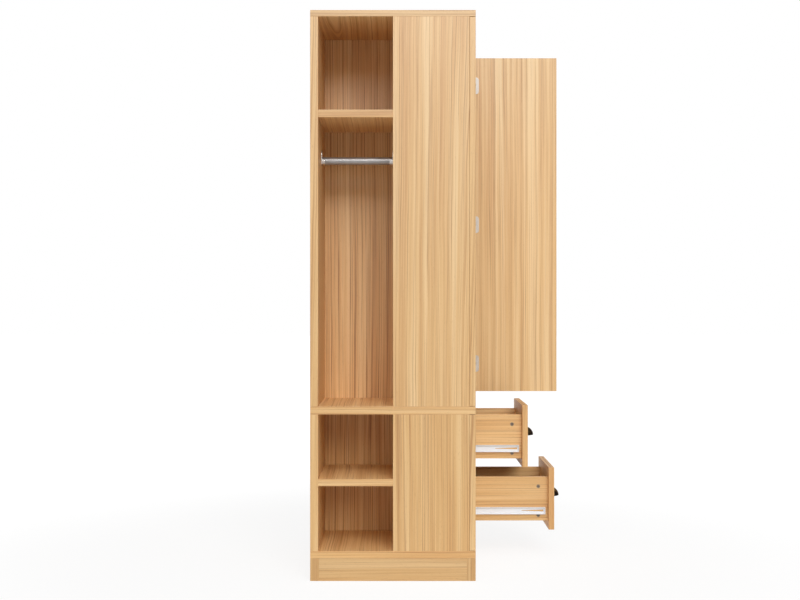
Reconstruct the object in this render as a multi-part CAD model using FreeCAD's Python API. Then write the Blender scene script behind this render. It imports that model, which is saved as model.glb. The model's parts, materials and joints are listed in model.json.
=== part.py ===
import FreeCAD, Part
import math
import os
from FreeCAD import Vector

# Freestanding wardrobe with drawers (chifforobe), in millimetres.
# +X is to the right seen from the front, -Y is the front, +Z is up.
# The origin is on the floor in the middle of the case's footprint.
# The left end has side-facing compartments behind a shallow door column.
# The right bay has a door above two drawers. At rest its door stands open
# at 90 degrees and both drawers are part way out.

# ---- case ----
HEIGHT = 1800.0
WIDTH = 718.0
DEPTH = 522.0
TOP_T = 20.0
SIDE_T = 20.0
DIVIDER_T = 25.0
BOTTOM_T = 22.0
PARTITION_T = 20.0
CROSS_WALL_T = 18.0
REAR_WALL_T = 25.0
BACK_PANEL_T = 5.0
BACK_PANEL_INSET = 8.0
BACK_GROOVE = 6.0
PLINTH_H = 72.0
PLINTH_T = 27.0
PLINTH_SIDE_T = 20.0
CENTRE_RAIL_T = 20.0
EDGE_R = 0.8

# ---- levels and widths of the compartments ----
DIVIDER_TOP = 550.0
HAT_ROOM_H = 294.0
HAT_SHELF_T = 24.0
CUBBY_ROOM_H = 204.0
CUBBY_SHELF_T = 22.0
CUBBY_W = 236.0
CUBBY_DEPTH = 372.0
LOOSE_SHELF_T = 18.0
LOWER_SHELF_RISE = 206.0
UPPER_SHELF_RISES = (290.0, 555.0)
HIGH_SHELF_DROP = 340.0
LOOSE_SHELF_CLEARANCE = 0.8
LOOSE_SHELF_SETBACK = 12.0
SHELF_PIN_R = 2.5
SHELF_PIN_IN = 8.0
SHELF_PIN_OUT = 7.0
SHELF_PIN_INSET = 32.0

# ---- doors and fronts ----
DOOR_T = 19.0
DOOR_STANDOFF = 0.6
REVEAL = 1.0
LEVEL_GAP = 1.0
MEETING_GAP = 3.0

# ---- concealed hinges ----
HINGE_END_OFFSET = 102.0
CUP_R = 17.5
CUP_WALL = 0.6
CUP_DEPTH = 14.5
CUP_EDGE = 2.6
CUP_FLANGE_T = 1.2
CUP_FLANGE_H = 62.0
CUP_FLANGE_W = 30.0
CUP_FLANGE_CORNER_R = 11.0
CUP_RIM = 1.0
CUP_FLANGE_ROOM = 0.5
CUP_SCREW_PITCH = 45.0
CUP_SCREW_OFFSET = 12.0
CUP_SCREW_R = 1.75
CUP_SCREW_HEAD_R = 3.5
CUP_SCREW_L = 12.0
CUP_PIN_FROM_EDGE = 8.0
CUP_PIN_DEPTH = 2.1
OPEN_EDGE_CLEARANCE = 5.0
OPEN_SIDE_INSET = 0.5
LINK_REACH = 20.0
LINK_T = 2.0
LINK_H = 8.0
LINK_BOW = 5.0
LINK_BARREL_R = 2.3
HINGE_PIN_R = 1.2
PIN_CLEARANCE = 0.05
FORK_GAP = 0.4
FORK_T = 1.5
FORK_R = 2.0
FORK_ROOT_IN = 3.0
ARM_W = 10.0
ARM_START = 5.4
ARM_END = 62.0
ARM_EDGE_R = 1.5
PLATE_T = 2.0
PLATE_CORNER_R = 5.0
PLATE_H = 52.0
PLATE_W = 27.0
PLATE_FROM_FRONT = 37.0
PLATE_SCREW_PITCH = 32.0
PLATE_SCREW_R = 2.0
PLATE_SCREW_HEAD_R = 4.0
PLATE_SCREW_L = 14.0
SCREW_HEAD_T = 1.6

# ---- door knobs ----
KNOB_R = 15.0
KNOB_REACH = 20.0
KNOB_NECK_R = 6.0
KNOB_BASE_R = 9.0
KNOB_BASE_TOP_R = 7.0
KNOB_BASE_T = 2.5
KNOB_HEAD_T = 9.0
KNOB_UNDERCUT = 2.5
KNOB_FROM_EDGE = 36.0
KNOB_Z_UPPER = 1040.0
KNOB_DROP_LOWER = 60.0

# ---- drawers ----
BOX_SIDE_H = 152.0
BOX_BOTTOM_DROP = 28.0
BOX_SIDE_T = 15.0
BOX_LENGTH = 440.0
BOX_BOTTOM_T = 4.0
BOX_BOTTOM_RISE = 6.0
BOX_GROOVE = 6.0
BOX_EDGE_R = 0.6
SLIDE_ROOM = 12.5
CAM_R = 6.5
CAM_T = 11.0
CAM_FROM_END = 34.0
BOX_CAM_HEIGHTS = (18.5, 118.5)
BOLT_R = 3.0
BOLT_IN = 11.0
UPPER_DRAWER_OUT = 202.0
LOWER_DRAWER_OUT = 293.0

# ---- drawer slides ----
SLIDE_END_ROOM = 30.0
SLIDE_SHEET = 1.2
SLIDE_SETBACK = 10.0
SLIDE_AXIS_RISE = 35.0
MOVING_RAIL_H = 24.0
FIXED_RAIL_H = 16.0
RAIL_FLANGE = 8.3
RAIL_FRONT_ROOM = 2.0
FRONT_ROLLER_R = 10.5
REAR_ROLLER_R = 6.5
ROLLER_T = 6.0
ROLLER_EDGE_R = 0.8
ROLLER_ROOM = 2.0
ROLLER_AXLE_R = 2.2
RAIL_SLOT_L = 76.0
RAIL_SLOT_WIDE = 7.0
RAIL_SLOT_NARROW = 1.6
RAIL_SLOT_END = 6.0

# ---- cup pulls on the drawers ----
PULL_W = 92.0
PULL_H = 30.0
PULL_REACH = 35.0
PULL_WALL = 2.0
PULL_RISE = 5.0
PULL_POST_R = 3.5
PULL_POST_PITCH = 64.0
PULL_SCREW_R = 2.0
PULL_SCREW_HEAD_R = 4.5
PULL_SCREW_IN = 9.0

# ---- coat rails ----
RAIL_R = 12.5
RAIL_WALL = 1.2
RAIL_DROP = 118.0
BRACKET_PLATE_T = 2.0
BRACKET_W = 33.0
BRACKET_UP = 36.0
BRACKET_DOWN = 17.0
BRACKET_CORNER_R = 15.5
BRACKET_CRADLE = 12.0
BRACKET_WALL = 2.0
BRACKET_LIP = 2.0
BRACKET_SCREW_R = 1.8
BRACKET_SCREW_HEAD_R = 3.6
BRACKET_SCREW_L = 14.0
BRACKET_SCREW_DROP = 8.0
BRACKET_SCREW_LOW = 6.0

# ---- joinery ----
DOWEL_R = 4.0
DOWEL_IN = 12.0
DOWEL_L = 30.0
DOWEL_INSET = 30.0
CAM_INSET = 62.0
PLINTH_DOWEL_INSET = 90.0

# ---- places worked out from the sizes above ----
X_LEFT = -WIDTH / 2
X_RIGHT = WIDTH / 2
X_LEFT_IN = X_LEFT + SIDE_T
X_RIGHT_IN = X_RIGHT - SIDE_T
X_PART_LEFT = X_LEFT + CUBBY_DEPTH
X_PART_RIGHT = X_PART_LEFT + PARTITION_T
X_MEETING = (X_PART_LEFT + X_PART_RIGHT) / 2
Y_FRONT = -DEPTH / 2
Y_REAR = DEPTH / 2
Y_DOOR_IN = Y_FRONT + DOOR_T
Y_CASE_FRONT = Y_DOOR_IN + DOOR_STANDOFF
Y_REAR_WALL = Y_REAR - REAR_WALL_T
Y_CROSS_REAR = Y_REAR_WALL - CUBBY_W
Y_CROSS_FRONT = Y_CROSS_REAR - CROSS_WALL_T
Z_BOTTOM_TOP = PLINTH_H + BOTTOM_T
Z_DIVIDER = DIVIDER_TOP - DIVIDER_T
Z_TOP = HEIGHT - TOP_T
HAT_SHELF_TOP = Z_TOP - HAT_ROOM_H
CUBBY_SHELF_TOP = Z_DIVIDER - CUBBY_ROOM_H
RAIL_Z = HAT_SHELF_TOP - HAT_SHELF_T - RAIL_DROP
LOOSE_SHELF_LEVELS = (
    Z_BOTTOM_TOP + LOWER_SHELF_RISE,
    DIVIDER_TOP + UPPER_SHELF_RISES[0],
    DIVIDER_TOP + UPPER_SHELF_RISES[1],
    Z_TOP - HIGH_SHELF_DROP,
)
SLIDE_L = BOX_LENGTH - SLIDE_SETBACK - SLIDE_END_ROOM

solids = {}
cutters = {}


def add(node, *shapes):
    """File solids under a node's name."""
    solids.setdefault(node, []).extend(shapes)


def cut(node, *shapes):
    """Remember shapes to take out of a node when it is exported."""
    cutters.setdefault(node, []).extend(shapes)


def block(x0, x1, y0, y1, z0, z1):
    """A box between two corners."""
    return Part.makeBox(x1 - x0, y1 - y0, z1 - z0, Vector(x0, y0, z0))


def board(x0, x1, y0, y1, z0, z1, radius=EDGE_R):
    """A box with its edges eased, as edge-banded board has them."""
    plain = block(x0, x1, y0, y1, z0, z1)
    return plain.makeFillet(radius, plain.Edges)


def rod(radius, start, end):
    """A round bar between two points."""
    start, end = Vector(*start), Vector(*end)
    return Part.makeCylinder(radius, (end - start).Length, start, end - start)


def screw(shank_r, head_r, length, head_at, direction):
    """A countersunk screw whose flat head starts at head_at and that runs along direction."""
    head_at, direction = Vector(*head_at), Vector(*direction)
    shank = Part.makeCylinder(shank_r, length, head_at, direction)
    head = Part.makeCone(head_r, shank_r, SCREW_HEAD_T, head_at, direction)
    return shank.fuse(head).removeSplitter()


def mirrored(shape):
    """The shape's mirror image in the plane x = 0."""
    return shape.mirror(Vector(0, 0, 0), Vector(1, 0, 0))


# ---------------------------------------------------------------- case boards
def make_case():
    """The fixed boards, the back panels and the plinth."""
    add("top_panel", board(X_LEFT, X_RIGHT, Y_FRONT, Y_REAR, Z_TOP, HEIGHT))
    add("divider_panel", board(X_LEFT, X_RIGHT, Y_FRONT, Y_REAR, Z_DIVIDER, DIVIDER_TOP))
    add("bottom_panel", board(X_LEFT, X_RIGHT, Y_FRONT, Y_REAR, PLINTH_H, Z_BOTTOM_TOP))
    for level, z0, z1 in (("upper", DIVIDER_TOP, Z_TOP), ("lower", Z_BOTTOM_TOP, Z_DIVIDER)):
        add("side_panel_left_" + level, board(X_LEFT, X_LEFT_IN, Y_CASE_FRONT, Y_CROSS_REAR, z0, z1))
        add("side_panel_right_" + level, board(X_RIGHT_IN, X_RIGHT, Y_CASE_FRONT, Y_REAR, z0, z1))
        add("partition_" + level, board(X_PART_LEFT, X_PART_RIGHT, Y_CASE_FRONT, Y_REAR, z0, z1))
        add("rear_wall_" + level, board(X_LEFT, X_PART_LEFT, Y_REAR_WALL, Y_REAR, z0, z1))
        add("cross_wall_" + level, board(X_LEFT_IN, X_PART_LEFT, Y_CROSS_FRONT, Y_CROSS_REAR, z0, z1))
        back = block(
            X_PART_RIGHT - BACK_GROOVE, X_RIGHT_IN + BACK_GROOVE,
            Y_REAR - BACK_PANEL_INSET - BACK_PANEL_T, Y_REAR - BACK_PANEL_INSET, z0, z1,
        )
        add("back_panels", back)
        cut("partition_" + level, back)
        cut("side_panel_right_" + level, back)
    hat_z = HAT_SHELF_TOP - HAT_SHELF_T
    add("hat_shelf_left", board(X_LEFT, X_PART_LEFT, Y_CROSS_REAR, Y_REAR_WALL, hat_z, HAT_SHELF_TOP))
    y_back = Y_REAR - BACK_PANEL_INSET - BACK_PANEL_T
    add("hat_shelf_right", board(X_PART_RIGHT, X_RIGHT_IN, Y_CASE_FRONT, y_back, hat_z, HAT_SHELF_TOP))
    cubby_z = CUBBY_SHELF_TOP - CUBBY_SHELF_T
    add("cubby_shelf", board(X_LEFT, X_PART_LEFT, Y_CROSS_REAR, Y_REAR_WALL, cubby_z, CUBBY_SHELF_TOP))
    y_plinth_front = Y_FRONT + PLINTH_T
    y_plinth_rear = Y_REAR - PLINTH_T
    add("plinth_front", board(X_LEFT, X_RIGHT, Y_FRONT, y_plinth_front, 0, PLINTH_H))
    add("plinth_rear", board(X_LEFT, X_RIGHT, y_plinth_rear, Y_REAR, 0, PLINTH_H))
    for x0, x1 in ((X_LEFT, X_LEFT + PLINTH_SIDE_T), (X_RIGHT - PLINTH_SIDE_T, X_RIGHT)):
        add("plinth_sides", board(x0, x1, y_plinth_front, y_plinth_rear, 0, PLINTH_H))
    half = CENTRE_RAIL_T / 2
    add("plinth_centre_rail", board(-half, half, y_plinth_front, y_plinth_rear, 0, PLINTH_H))


def make_loose_shelves():
    """Shelves of the door column, each on four pins."""
    y0 = Y_CASE_FRONT + LOOSE_SHELF_SETBACK
    y1 = Y_CROSS_FRONT - LOOSE_SHELF_CLEARANCE
    for z in LOOSE_SHELF_LEVELS:
        level = "upper" if z > DIVIDER_TOP else "lower"
        x0 = X_LEFT_IN + LOOSE_SHELF_CLEARANCE
        x1 = X_PART_LEFT - LOOSE_SHELF_CLEARANCE
        add("column_shelves", board(x0, x1, y0, y1, z, z + LOOSE_SHELF_T))
        pin_z = z - SHELF_PIN_R
        for y in (y0 + SHELF_PIN_INSET, y1 - SHELF_PIN_INSET):
            left = rod(SHELF_PIN_R, (X_LEFT_IN - SHELF_PIN_IN, y, pin_z),
                       (X_LEFT_IN + SHELF_PIN_OUT, y, pin_z))
            right = rod(SHELF_PIN_R, (X_PART_LEFT - SHELF_PIN_OUT, y, pin_z),
                        (X_PART_LEFT + SHELF_PIN_IN, y, pin_z))
            add("shelf_pins", left, right)
            cut("side_panel_left_" + level, left)
            cut("partition_" + level, right)


# ------------------------------------------------------------------- joinery
def dowel(node_a, node_b, seam, direction):
    """A dowel across the seam between two boards, with its holes; direction points into node_a."""
    seam, direction = Vector(*seam), Vector(*direction)
    start = seam - direction * DOWEL_IN
    peg = Part.makeCylinder(DOWEL_R, DOWEL_L, start, direction)
    add("dowels", peg)
    cut(node_a, peg)
    cut(node_b, peg)


def cam_joint(node_a, node_b, seam, direction, face):
    """A cam lock in node_a, CAM_FROM_END from the seam, with its bolt in node_b.

    direction points into node_a, and face is a (point, inward direction) pair on the cam's side.
    """
    seam, direction = Vector(*seam), Vector(*direction)
    mouth, inward = Vector(*face[0]), Vector(*face[1])
    cam = Part.makeCylinder(CAM_R, CAM_T, mouth, inward)
    bolt = Part.makeCylinder(BOLT_R, CAM_FROM_END - CAM_R + BOLT_IN, seam - direction * BOLT_IN, direction)
    add("cam_locks", cam, bolt)
    cut(node_a, cam, bolt)
    cut(node_b, bolt)


def join_upright(node, across, along, cam_face, z0, z1, below, above):
    """Dowels and cams at both ends of an upright board.

    across is the (axis name, place) of the board's middle plane, along the two ends of its
    width, and cam_face the (place, inward sign) of the face that holds its cams.
    """
    axis, middle = across
    face_at, sign = cam_face
    lo, hi = min(along), max(along)

    def place(u, v, z):
        return (v, u, z) if axis == "x" else (u, v, z)

    for other, z, up in ((below, z0, 1), (above, z1, -1)):
        for u in (lo + DOWEL_INSET, hi - DOWEL_INSET):
            dowel(node, other, place(u, middle, z), (0, 0, up))
        for u in (lo + CAM_INSET, hi - CAM_INSET):
            mouth = place(u, face_at, z + up * CAM_FROM_END)
            inward = (sign, 0, 0) if axis == "x" else (0, sign, 0)
            cam_joint(node, other, place(u, middle, z), (0, 0, up), (mouth, inward))


def make_joinery():
    """Cams, bolts and dowels that hold the case together."""
    levels = (
        ("upper", DIVIDER_TOP, Z_TOP, "divider_panel", "top_panel"),
        ("lower", Z_BOTTOM_TOP, Z_DIVIDER, "bottom_panel", "divider_panel"),
    )
    for level, z0, z1, below, above in levels:
        ends = (z0, z1, below, above)
        join_upright("side_panel_left_" + level, ("x", X_LEFT + SIDE_T / 2),
                     (Y_CASE_FRONT, Y_CROSS_REAR), (X_LEFT_IN, -1), *ends)
        join_upright("side_panel_right_" + level, ("x", X_RIGHT - SIDE_T / 2),
                     (Y_CASE_FRONT, Y_REAR), (X_RIGHT_IN, 1), *ends)
        join_upright("partition_" + level, ("x", X_MEETING),
                     (Y_CASE_FRONT, Y_REAR), (X_PART_RIGHT, -1), *ends)
        join_upright("rear_wall_" + level, ("y", Y_REAR - REAR_WALL_T / 2),
                     (X_LEFT, X_PART_LEFT), (Y_REAR, -1), *ends)
        join_upright("cross_wall_" + level, ("y", Y_CROSS_REAR - CROSS_WALL_T / 2),
                     (X_LEFT_IN, X_PART_LEFT), (Y_CROSS_FRONT, 1), *ends)
    shelves = (
        ("hat_shelf_left", HAT_SHELF_TOP - HAT_SHELF_T / 2, "upper"),
        ("cubby_shelf", CUBBY_SHELF_TOP - CUBBY_SHELF_T / 2, "lower"),
    )
    for node, z, level in shelves:
        for x in (X_LEFT + CAM_INSET, X_PART_LEFT - CAM_INSET):
            dowel(node, "cross_wall_" + level, (x, Y_CROSS_REAR, z), (0, 1, 0))
            dowel(node, "rear_wall_" + level, (x, Y_REAR_WALL, z), (0, -1, 0))
    z = HAT_SHELF_TOP - HAT_SHELF_T / 2
    for y in (Y_CASE_FRONT + CAM_INSET, Y_REAR_WALL - CAM_INSET):
        dowel("hat_shelf_right", "partition_upper", (X_PART_RIGHT, y, z), (1, 0, 0))
        dowel("hat_shelf_right", "side_panel_right_upper", (X_RIGHT_IN, y, z), (-1, 0, 0))
    for x in (X_LEFT + PLINTH_DOWEL_INSET, X_RIGHT - PLINTH_DOWEL_INSET):
        dowel("plinth_front", "bottom_panel", (x, Y_FRONT + PLINTH_T / 2, PLINTH_H), (0, 0, -1))
        dowel("plinth_rear", "bottom_panel", (x, Y_REAR - PLINTH_T / 2, PLINTH_H), (0, 0, -1))


# -------------------------------------------------------------------- hinges
def hinge_frame():
    """Pivot places of a right-hand concealed hinge in plan, door closed and door open.

    Returns the fixed pivot, the door pivot closed and the door pivot open, as (x, y) pairs.
    The fixed pivot lies on the line that is equally far from both places of the door pivot.
    """
    edge = X_RIGHT - REVEAL
    closed = (edge - CUP_PIN_FROM_EDGE, Y_DOOR_IN - CUP_PIN_DEPTH)
    open_x = X_RIGHT_IN - OPEN_SIDE_INSET + CUP_PIN_DEPTH
    open_y = Y_FRONT - OPEN_EDGE_CLEARANCE - CUP_PIN_FROM_EDGE
    dx, dy = open_x - closed[0], open_y - closed[1]
    length = math.hypot(dx, dy)
    middle = ((closed[0] + open_x) / 2, (closed[1] + open_y) / 2)
    fixed = (middle[0] + LINK_REACH * dy / length, middle[1] - LINK_REACH * dx / length)
    return fixed, closed, (open_x, open_y)


FIXED_PIVOT, DOOR_PIVOT, DOOR_PIVOT_OPEN = hinge_frame()
LINK_CLOSED_DEG = math.degrees(math.atan2(DOOR_PIVOT[1] - FIXED_PIVOT[1], DOOR_PIVOT[0] - FIXED_PIVOT[0]))
LINK_OPEN_DEG = math.degrees(
    math.atan2(DOOR_PIVOT_OPEN[1] - FIXED_PIVOT[1], DOOR_PIVOT_OPEN[0] - FIXED_PIVOT[0])
)
LINK_SWING_DEG = LINK_OPEN_DEG - LINK_CLOSED_DEG


def hinge_cup(z):
    """The cup that sits in the door, with its flange and its pin, and the bore it needs."""
    x = X_RIGHT - REVEAL - CUP_EDGE - CUP_R
    y_flange = Y_DOOR_IN + CUP_FLANGE_T
    toward_door = Vector(0, -1, 0)
    body = Part.makeCylinder(CUP_R, CUP_DEPTH, Vector(x, Y_DOOR_IN, z), toward_door)
    x_screws = x - CUP_SCREW_OFFSET
    flange = block(x_screws - CUP_FLANGE_W / 2, x_screws + CUP_FLANGE_W / 2, Y_DOOR_IN, y_flange,
                   z - CUP_FLANGE_H / 2, z + CUP_FLANGE_H / 2)
    upright = [e for e in flange.Edges if abs(e.Length - CUP_FLANGE_T) < 1e-6]
    flange = flange.makeFillet(CUP_FLANGE_CORNER_R, upright)
    ring = Part.makeCylinder(CUP_R + CUP_RIM, CUP_FLANGE_T, Vector(x, y_flange, z), toward_door)
    void = Part.makeCylinder(CUP_R - CUP_WALL, CUP_DEPTH - CUP_WALL + CUP_FLANGE_T,
                             Vector(x, y_flange, z), toward_door)
    over_side = block(X_RIGHT_IN - CUP_FLANGE_ROOM, X_RIGHT, Y_DOOR_IN, y_flange,
                      z - CUP_FLANGE_H / 2, z + CUP_FLANGE_H / 2)
    cup = body.fuse([flange.cut(over_side), ring.cut(over_side)]).cut(void)
    px, py = DOOR_PIVOT
    half = math.sqrt((CUP_R - CUP_WALL / 2) ** 2 - (px - x) ** 2)
    cup = cup.fuse(rod(HINGE_PIN_R, (px, py, z - half), (px, py, z + half))).removeSplitter()
    screws = []
    for dz in (-CUP_SCREW_PITCH / 2, CUP_SCREW_PITCH / 2):
        screws.append(screw(CUP_SCREW_R, CUP_SCREW_HEAD_R, CUP_SCREW_L, (x_screws, y_flange, z + dz),
                            (0, -1, 0)))
    return cup.cut(screws), screws, body


def hinge_link(z):
    """The bowed link between the fixed pivot and the door pivot."""
    (ax, ay), (bx, by) = FIXED_PIVOT, DOOR_PIVOT
    dx, dy = bx - ax, by - ay
    length = math.hypot(dx, dy)
    nx, ny = dy / length, -dx / length
    z0 = z - LINK_H / 2

    def arc(offset):
        start = Vector(ax + nx * offset, ay + ny * offset, z0)
        crown = Vector((ax + bx) / 2 + nx * (LINK_BOW + offset), (ay + by) / 2 + ny * (LINK_BOW + offset), z0)
        end = Vector(bx + nx * offset, by + ny * offset, z0)
        return Part.Arc(start, crown, end).toShape(), start, end

    outer, outer_start, outer_end = arc(LINK_T / 2)
    inner, inner_start, inner_end = arc(-LINK_T / 2)
    sides = [outer, Part.makeLine(outer_end, inner_end), inner, Part.makeLine(inner_start, outer_start)]
    strip = Part.Face(Part.Wire(Part.__sortEdges__(sides))).extrude(Vector(0, 0, LINK_H))
    barrels = [rod(LINK_BARREL_R, (x, y, z0), (x, y, z0 + LINK_H)) for x, y in (FIXED_PIVOT, DOOR_PIVOT)]
    bores = [
        rod(HINGE_PIN_R + PIN_CLEARANCE, (x, y, z0 - 1), (x, y, z0 + LINK_H + 1))
        for x, y in (FIXED_PIVOT, DOOR_PIVOT)
    ]
    return strip.fuse(barrels).cut(bores).removeSplitter()


def hinge_arm(z):
    """The arm on the mounting plate, with its fork and the fork's pin."""
    x0, x1 = X_RIGHT_IN - PLATE_T - ARM_W, X_RIGHT_IN - PLATE_T
    y0 = Y_CASE_FRONT + ARM_START
    half = LINK_H / 2 + FORK_GAP + FORK_T
    arm = block(x0, x1, y0, Y_CASE_FRONT + ARM_END, z - half, z + half)
    along_y = [e for e in arm.Edges if abs(e.Length - (ARM_END - ARM_START)) < 1e-6]
    arm = arm.makeFillet(ARM_EDGE_R, along_y)
    ax, ay = FIXED_PIVOT
    for z0 in (z - half, z + half - FORK_T):
        tip = rod(FORK_R, (ax, ay, z0), (ax, ay, z0 + FORK_T))
        corners = [
            Vector(ax - FORK_R, ay, z0), Vector(ax + FORK_R, ay, z0),
            Vector(x1 - ARM_EDGE_R, y0 + FORK_ROOT_IN, z0),
            Vector(x0 + ARM_EDGE_R / 2, y0 + FORK_ROOT_IN, z0), Vector(ax - FORK_R, ay, z0),
        ]
        cheek = Part.Face(Part.makePolygon(corners)).extrude(Vector(0, 0, FORK_T))
        arm = arm.fuse([tip, cheek])
    return arm.fuse(rod(HINGE_PIN_R, (ax, ay, z - half), (ax, ay, z + half))).removeSplitter()


def hinge_plate(z):
    """The mounting plate on the side panel and its two screws."""
    x = X_RIGHT_IN
    y = Y_CASE_FRONT + PLATE_FROM_FRONT
    plate = block(x - PLATE_T, x, y - PLATE_W / 2, y + PLATE_W / 2, z - PLATE_H / 2, z + PLATE_H / 2)
    across = [e for e in plate.Edges if abs(e.Length - PLATE_T) < 1e-6]
    plate = plate.makeFillet(PLATE_CORNER_R, across)
    screws = [
        screw(PLATE_SCREW_R, PLATE_SCREW_HEAD_R, PLATE_SCREW_L, (x - PLATE_T, y, z + dz), (1, 0, 0))
        for dz in (-PLATE_SCREW_PITCH / 2, PLATE_SCREW_PITCH / 2)
    ]
    return plate.cut(screws), screws


def opened_door(shape):
    """A shape of the closed right door moved to where it is at 90 degrees open."""
    moved = shape.copy()
    moved.rotate(Vector(*DOOR_PIVOT, 0), Vector(0, 0, 1), 90)
    moved.translate(Vector(DOOR_PIVOT_OPEN[0] - DOOR_PIVOT[0], DOOR_PIVOT_OPEN[1] - DOOR_PIVOT[1], 0))
    return moved


def opened_link(shape):
    """A shape of the folded right link turned to where it is with the door at 90 degrees."""
    moved = shape.copy()
    moved.rotate(Vector(*FIXED_PIVOT, 0), Vector(0, 0, 1), LINK_SWING_DEG)
    return moved


def door_knob(x, z):
    """A round knob on a closed door's outer face: a base, a neck and a domed head."""
    neck_end = KNOB_REACH - KNOB_HEAD_T
    outward = Vector(0, -1, 0)
    base = Part.makeCone(KNOB_BASE_R, KNOB_BASE_TOP_R, KNOB_BASE_T, Vector(x, Y_FRONT, z), outward)
    neck = Part.makeCylinder(KNOB_NECK_R, neck_end + 1, Vector(x, Y_FRONT, z), outward)
    under = Part.makeCone(KNOB_R - KNOB_UNDERCUT, KNOB_R, KNOB_UNDERCUT,
                          Vector(x, Y_FRONT - neck_end, z), outward)
    rise = KNOB_HEAD_T - KNOB_UNDERCUT
    dome_r = (KNOB_R ** 2 + rise ** 2) / (2 * rise)
    ball = Part.makeSphere(dome_r, Vector(x, Y_FRONT - KNOB_REACH + dome_r, z))
    y_rim = Y_FRONT - neck_end - KNOB_UNDERCUT
    dome = ball.common(block(x - KNOB_R, x + KNOB_R, y_rim - rise, y_rim, z - KNOB_R, z + KNOB_R))
    return base.fuse([neck, under, dome]).removeSplitter()


def make_door(name, x0, x1, z0, z1, hinge_heights, knob_at, side, place):
    """A door with its hinges and knob.

    The door is built as the right-hand one, closed. side is "right" or "left", where left takes
    the mirror image, and place moves what rides on the door and on the links to the rest pose.
    """
    place_door, place_link = place
    finish = mirrored if side == "left" else (lambda shape: shape)
    panel = board(x0, x1, Y_FRONT, Y_DOOR_IN, z0, z1)
    level = "upper" if z0 > DIVIDER_TOP else "lower"
    bores = []
    for z in hinge_heights:
        cup, screws, bore = hinge_cup(z)
        bores += [bore] + screws
        add(name + "_hinge_cups", *[finish(place_door(s)) for s in [cup] + screws])
        add(name + "_hinge_links", finish(place_link(hinge_link(z))))
        plate, plate_screws = hinge_plate(z)
        add("hinge_plates", finish(plate), *[finish(s) for s in plate_screws])
        add("hinge_arms", finish(hinge_arm(z)))
        cut("side_panel_" + side + "_" + level, *[finish(s) for s in plate_screws])
    add(name + "_panel", finish(place_door(panel.cut(bores))))
    add(name + "_knob", finish(place_door(door_knob(*knob_at))))


def stay(shape):
    """The rest place of a door that is closed at rest."""
    return shape


def make_doors():
    """The open right door and the two closed left doors."""
    upper = (DIVIDER_TOP + LEVEL_GAP, Z_TOP - LEVEL_GAP)
    lower = (Z_BOTTOM_TOP + LEVEL_GAP, Z_DIVIDER - LEVEL_GAP)
    three = (upper[0] + HINGE_END_OFFSET, sum(upper) / 2, upper[1] - HINGE_END_OFFSET)
    two = (lower[0] + HINGE_END_OFFSET, lower[1] - HINGE_END_OFFSET)
    x_edge = X_RIGHT - REVEAL
    x_right = X_MEETING + MEETING_GAP / 2
    x_left = -(X_MEETING - MEETING_GAP / 2)
    shut = (stay, stay)
    make_door("right_door", x_right, x_edge, *upper, three, (x_right + KNOB_FROM_EDGE, KNOB_Z_UPPER),
              "right", (opened_door, opened_link))
    make_door("left_upper_door", x_left, x_edge, *upper, three, (x_left + KNOB_FROM_EDGE, KNOB_Z_UPPER),
              "left", shut)
    make_door("left_lower_door", x_left, x_edge, *lower, two,
              (x_left + KNOB_FROM_EDGE, lower[1] - KNOB_DROP_LOWER), "left", shut)


# ------------------------------------------------------------------- drawers
def cup_pull(x, z):
    """A half-round cup pull, open below, with two screw posts inside."""
    z0 = z - PULL_H / 2

    def dome(half_w, reach, height):
        scale = FreeCAD.Matrix()
        scale.A11, scale.A22, scale.A33 = half_w, reach, height
        return Part.makeSphere(1.0).transformGeometry(scale)

    keep = block(-PULL_W, PULL_W, -2 * PULL_REACH, 0, 0, 2 * PULL_H)
    outer = dome(PULL_W / 2, PULL_REACH, PULL_H).common(keep)
    inner = dome(PULL_W / 2 - PULL_WALL, PULL_REACH - PULL_WALL, PULL_H - PULL_WALL)
    places = (-PULL_POST_PITCH / 2, PULL_POST_PITCH / 2)
    z_post = PULL_H / 2
    bores = [rod(PULL_SCREW_R, (px, -PULL_SCREW_IN, z_post), (px, PULL_WALL, z_post)) for px in places]
    shell = outer.cut(inner).cut(bores)
    posts = [
        rod(PULL_POST_R, (px, -PULL_REACH, z_post), (px, 0, z_post)).common(outer).cut(bores)
        for px in places
    ]
    pull = shell.fuse(posts).removeSplitter()
    pull.translate(Vector(x, Y_FRONT, z0))
    return pull


def moving_rail(x_box, outward, y0, z):
    """The slide member on a drawer side: a channel that opens away from the drawer."""
    half = MOVING_RAIL_H / 2
    y1 = y0 + SLIDE_L

    def span(a, b, *rest):
        xs = sorted((x_box + outward * a, x_box + outward * b))
        return block(xs[0], xs[1], *rest)

    depth = SLIDE_SHEET + RAIL_FLANGE
    rail = span(0, SLIDE_SHEET, y0, y1, z - half, z + half)
    rail = rail.fuse([
        span(0, depth, y0, y1, z + half - SLIDE_SHEET, z + half),
        span(0, depth, y0, y1, z - half, z - half + SLIDE_SHEET),
        span(0, depth, y0, y0 + SLIDE_SHEET, z - half, z + half),
    ])
    s0 = y0 + RAIL_SLOT_END
    wide, narrow = RAIL_SLOT_WIDE / 2, RAIL_SLOT_NARROW / 2
    outline = [
        Vector(x_box - SLIDE_SHEET, s0, z - wide), Vector(x_box - SLIDE_SHEET, s0 + RAIL_SLOT_L, z - narrow),
        Vector(x_box - SLIDE_SHEET, s0 + RAIL_SLOT_L, z + narrow), Vector(x_box - SLIDE_SHEET, s0, z + wide),
        Vector(x_box - SLIDE_SHEET, s0, z - wide),
    ]
    slot = Part.Face(Part.makePolygon(outline)).extrude(Vector(3 * SLIDE_SHEET, 0, 0))
    return rail.cut(slot).removeSplitter()


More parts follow.
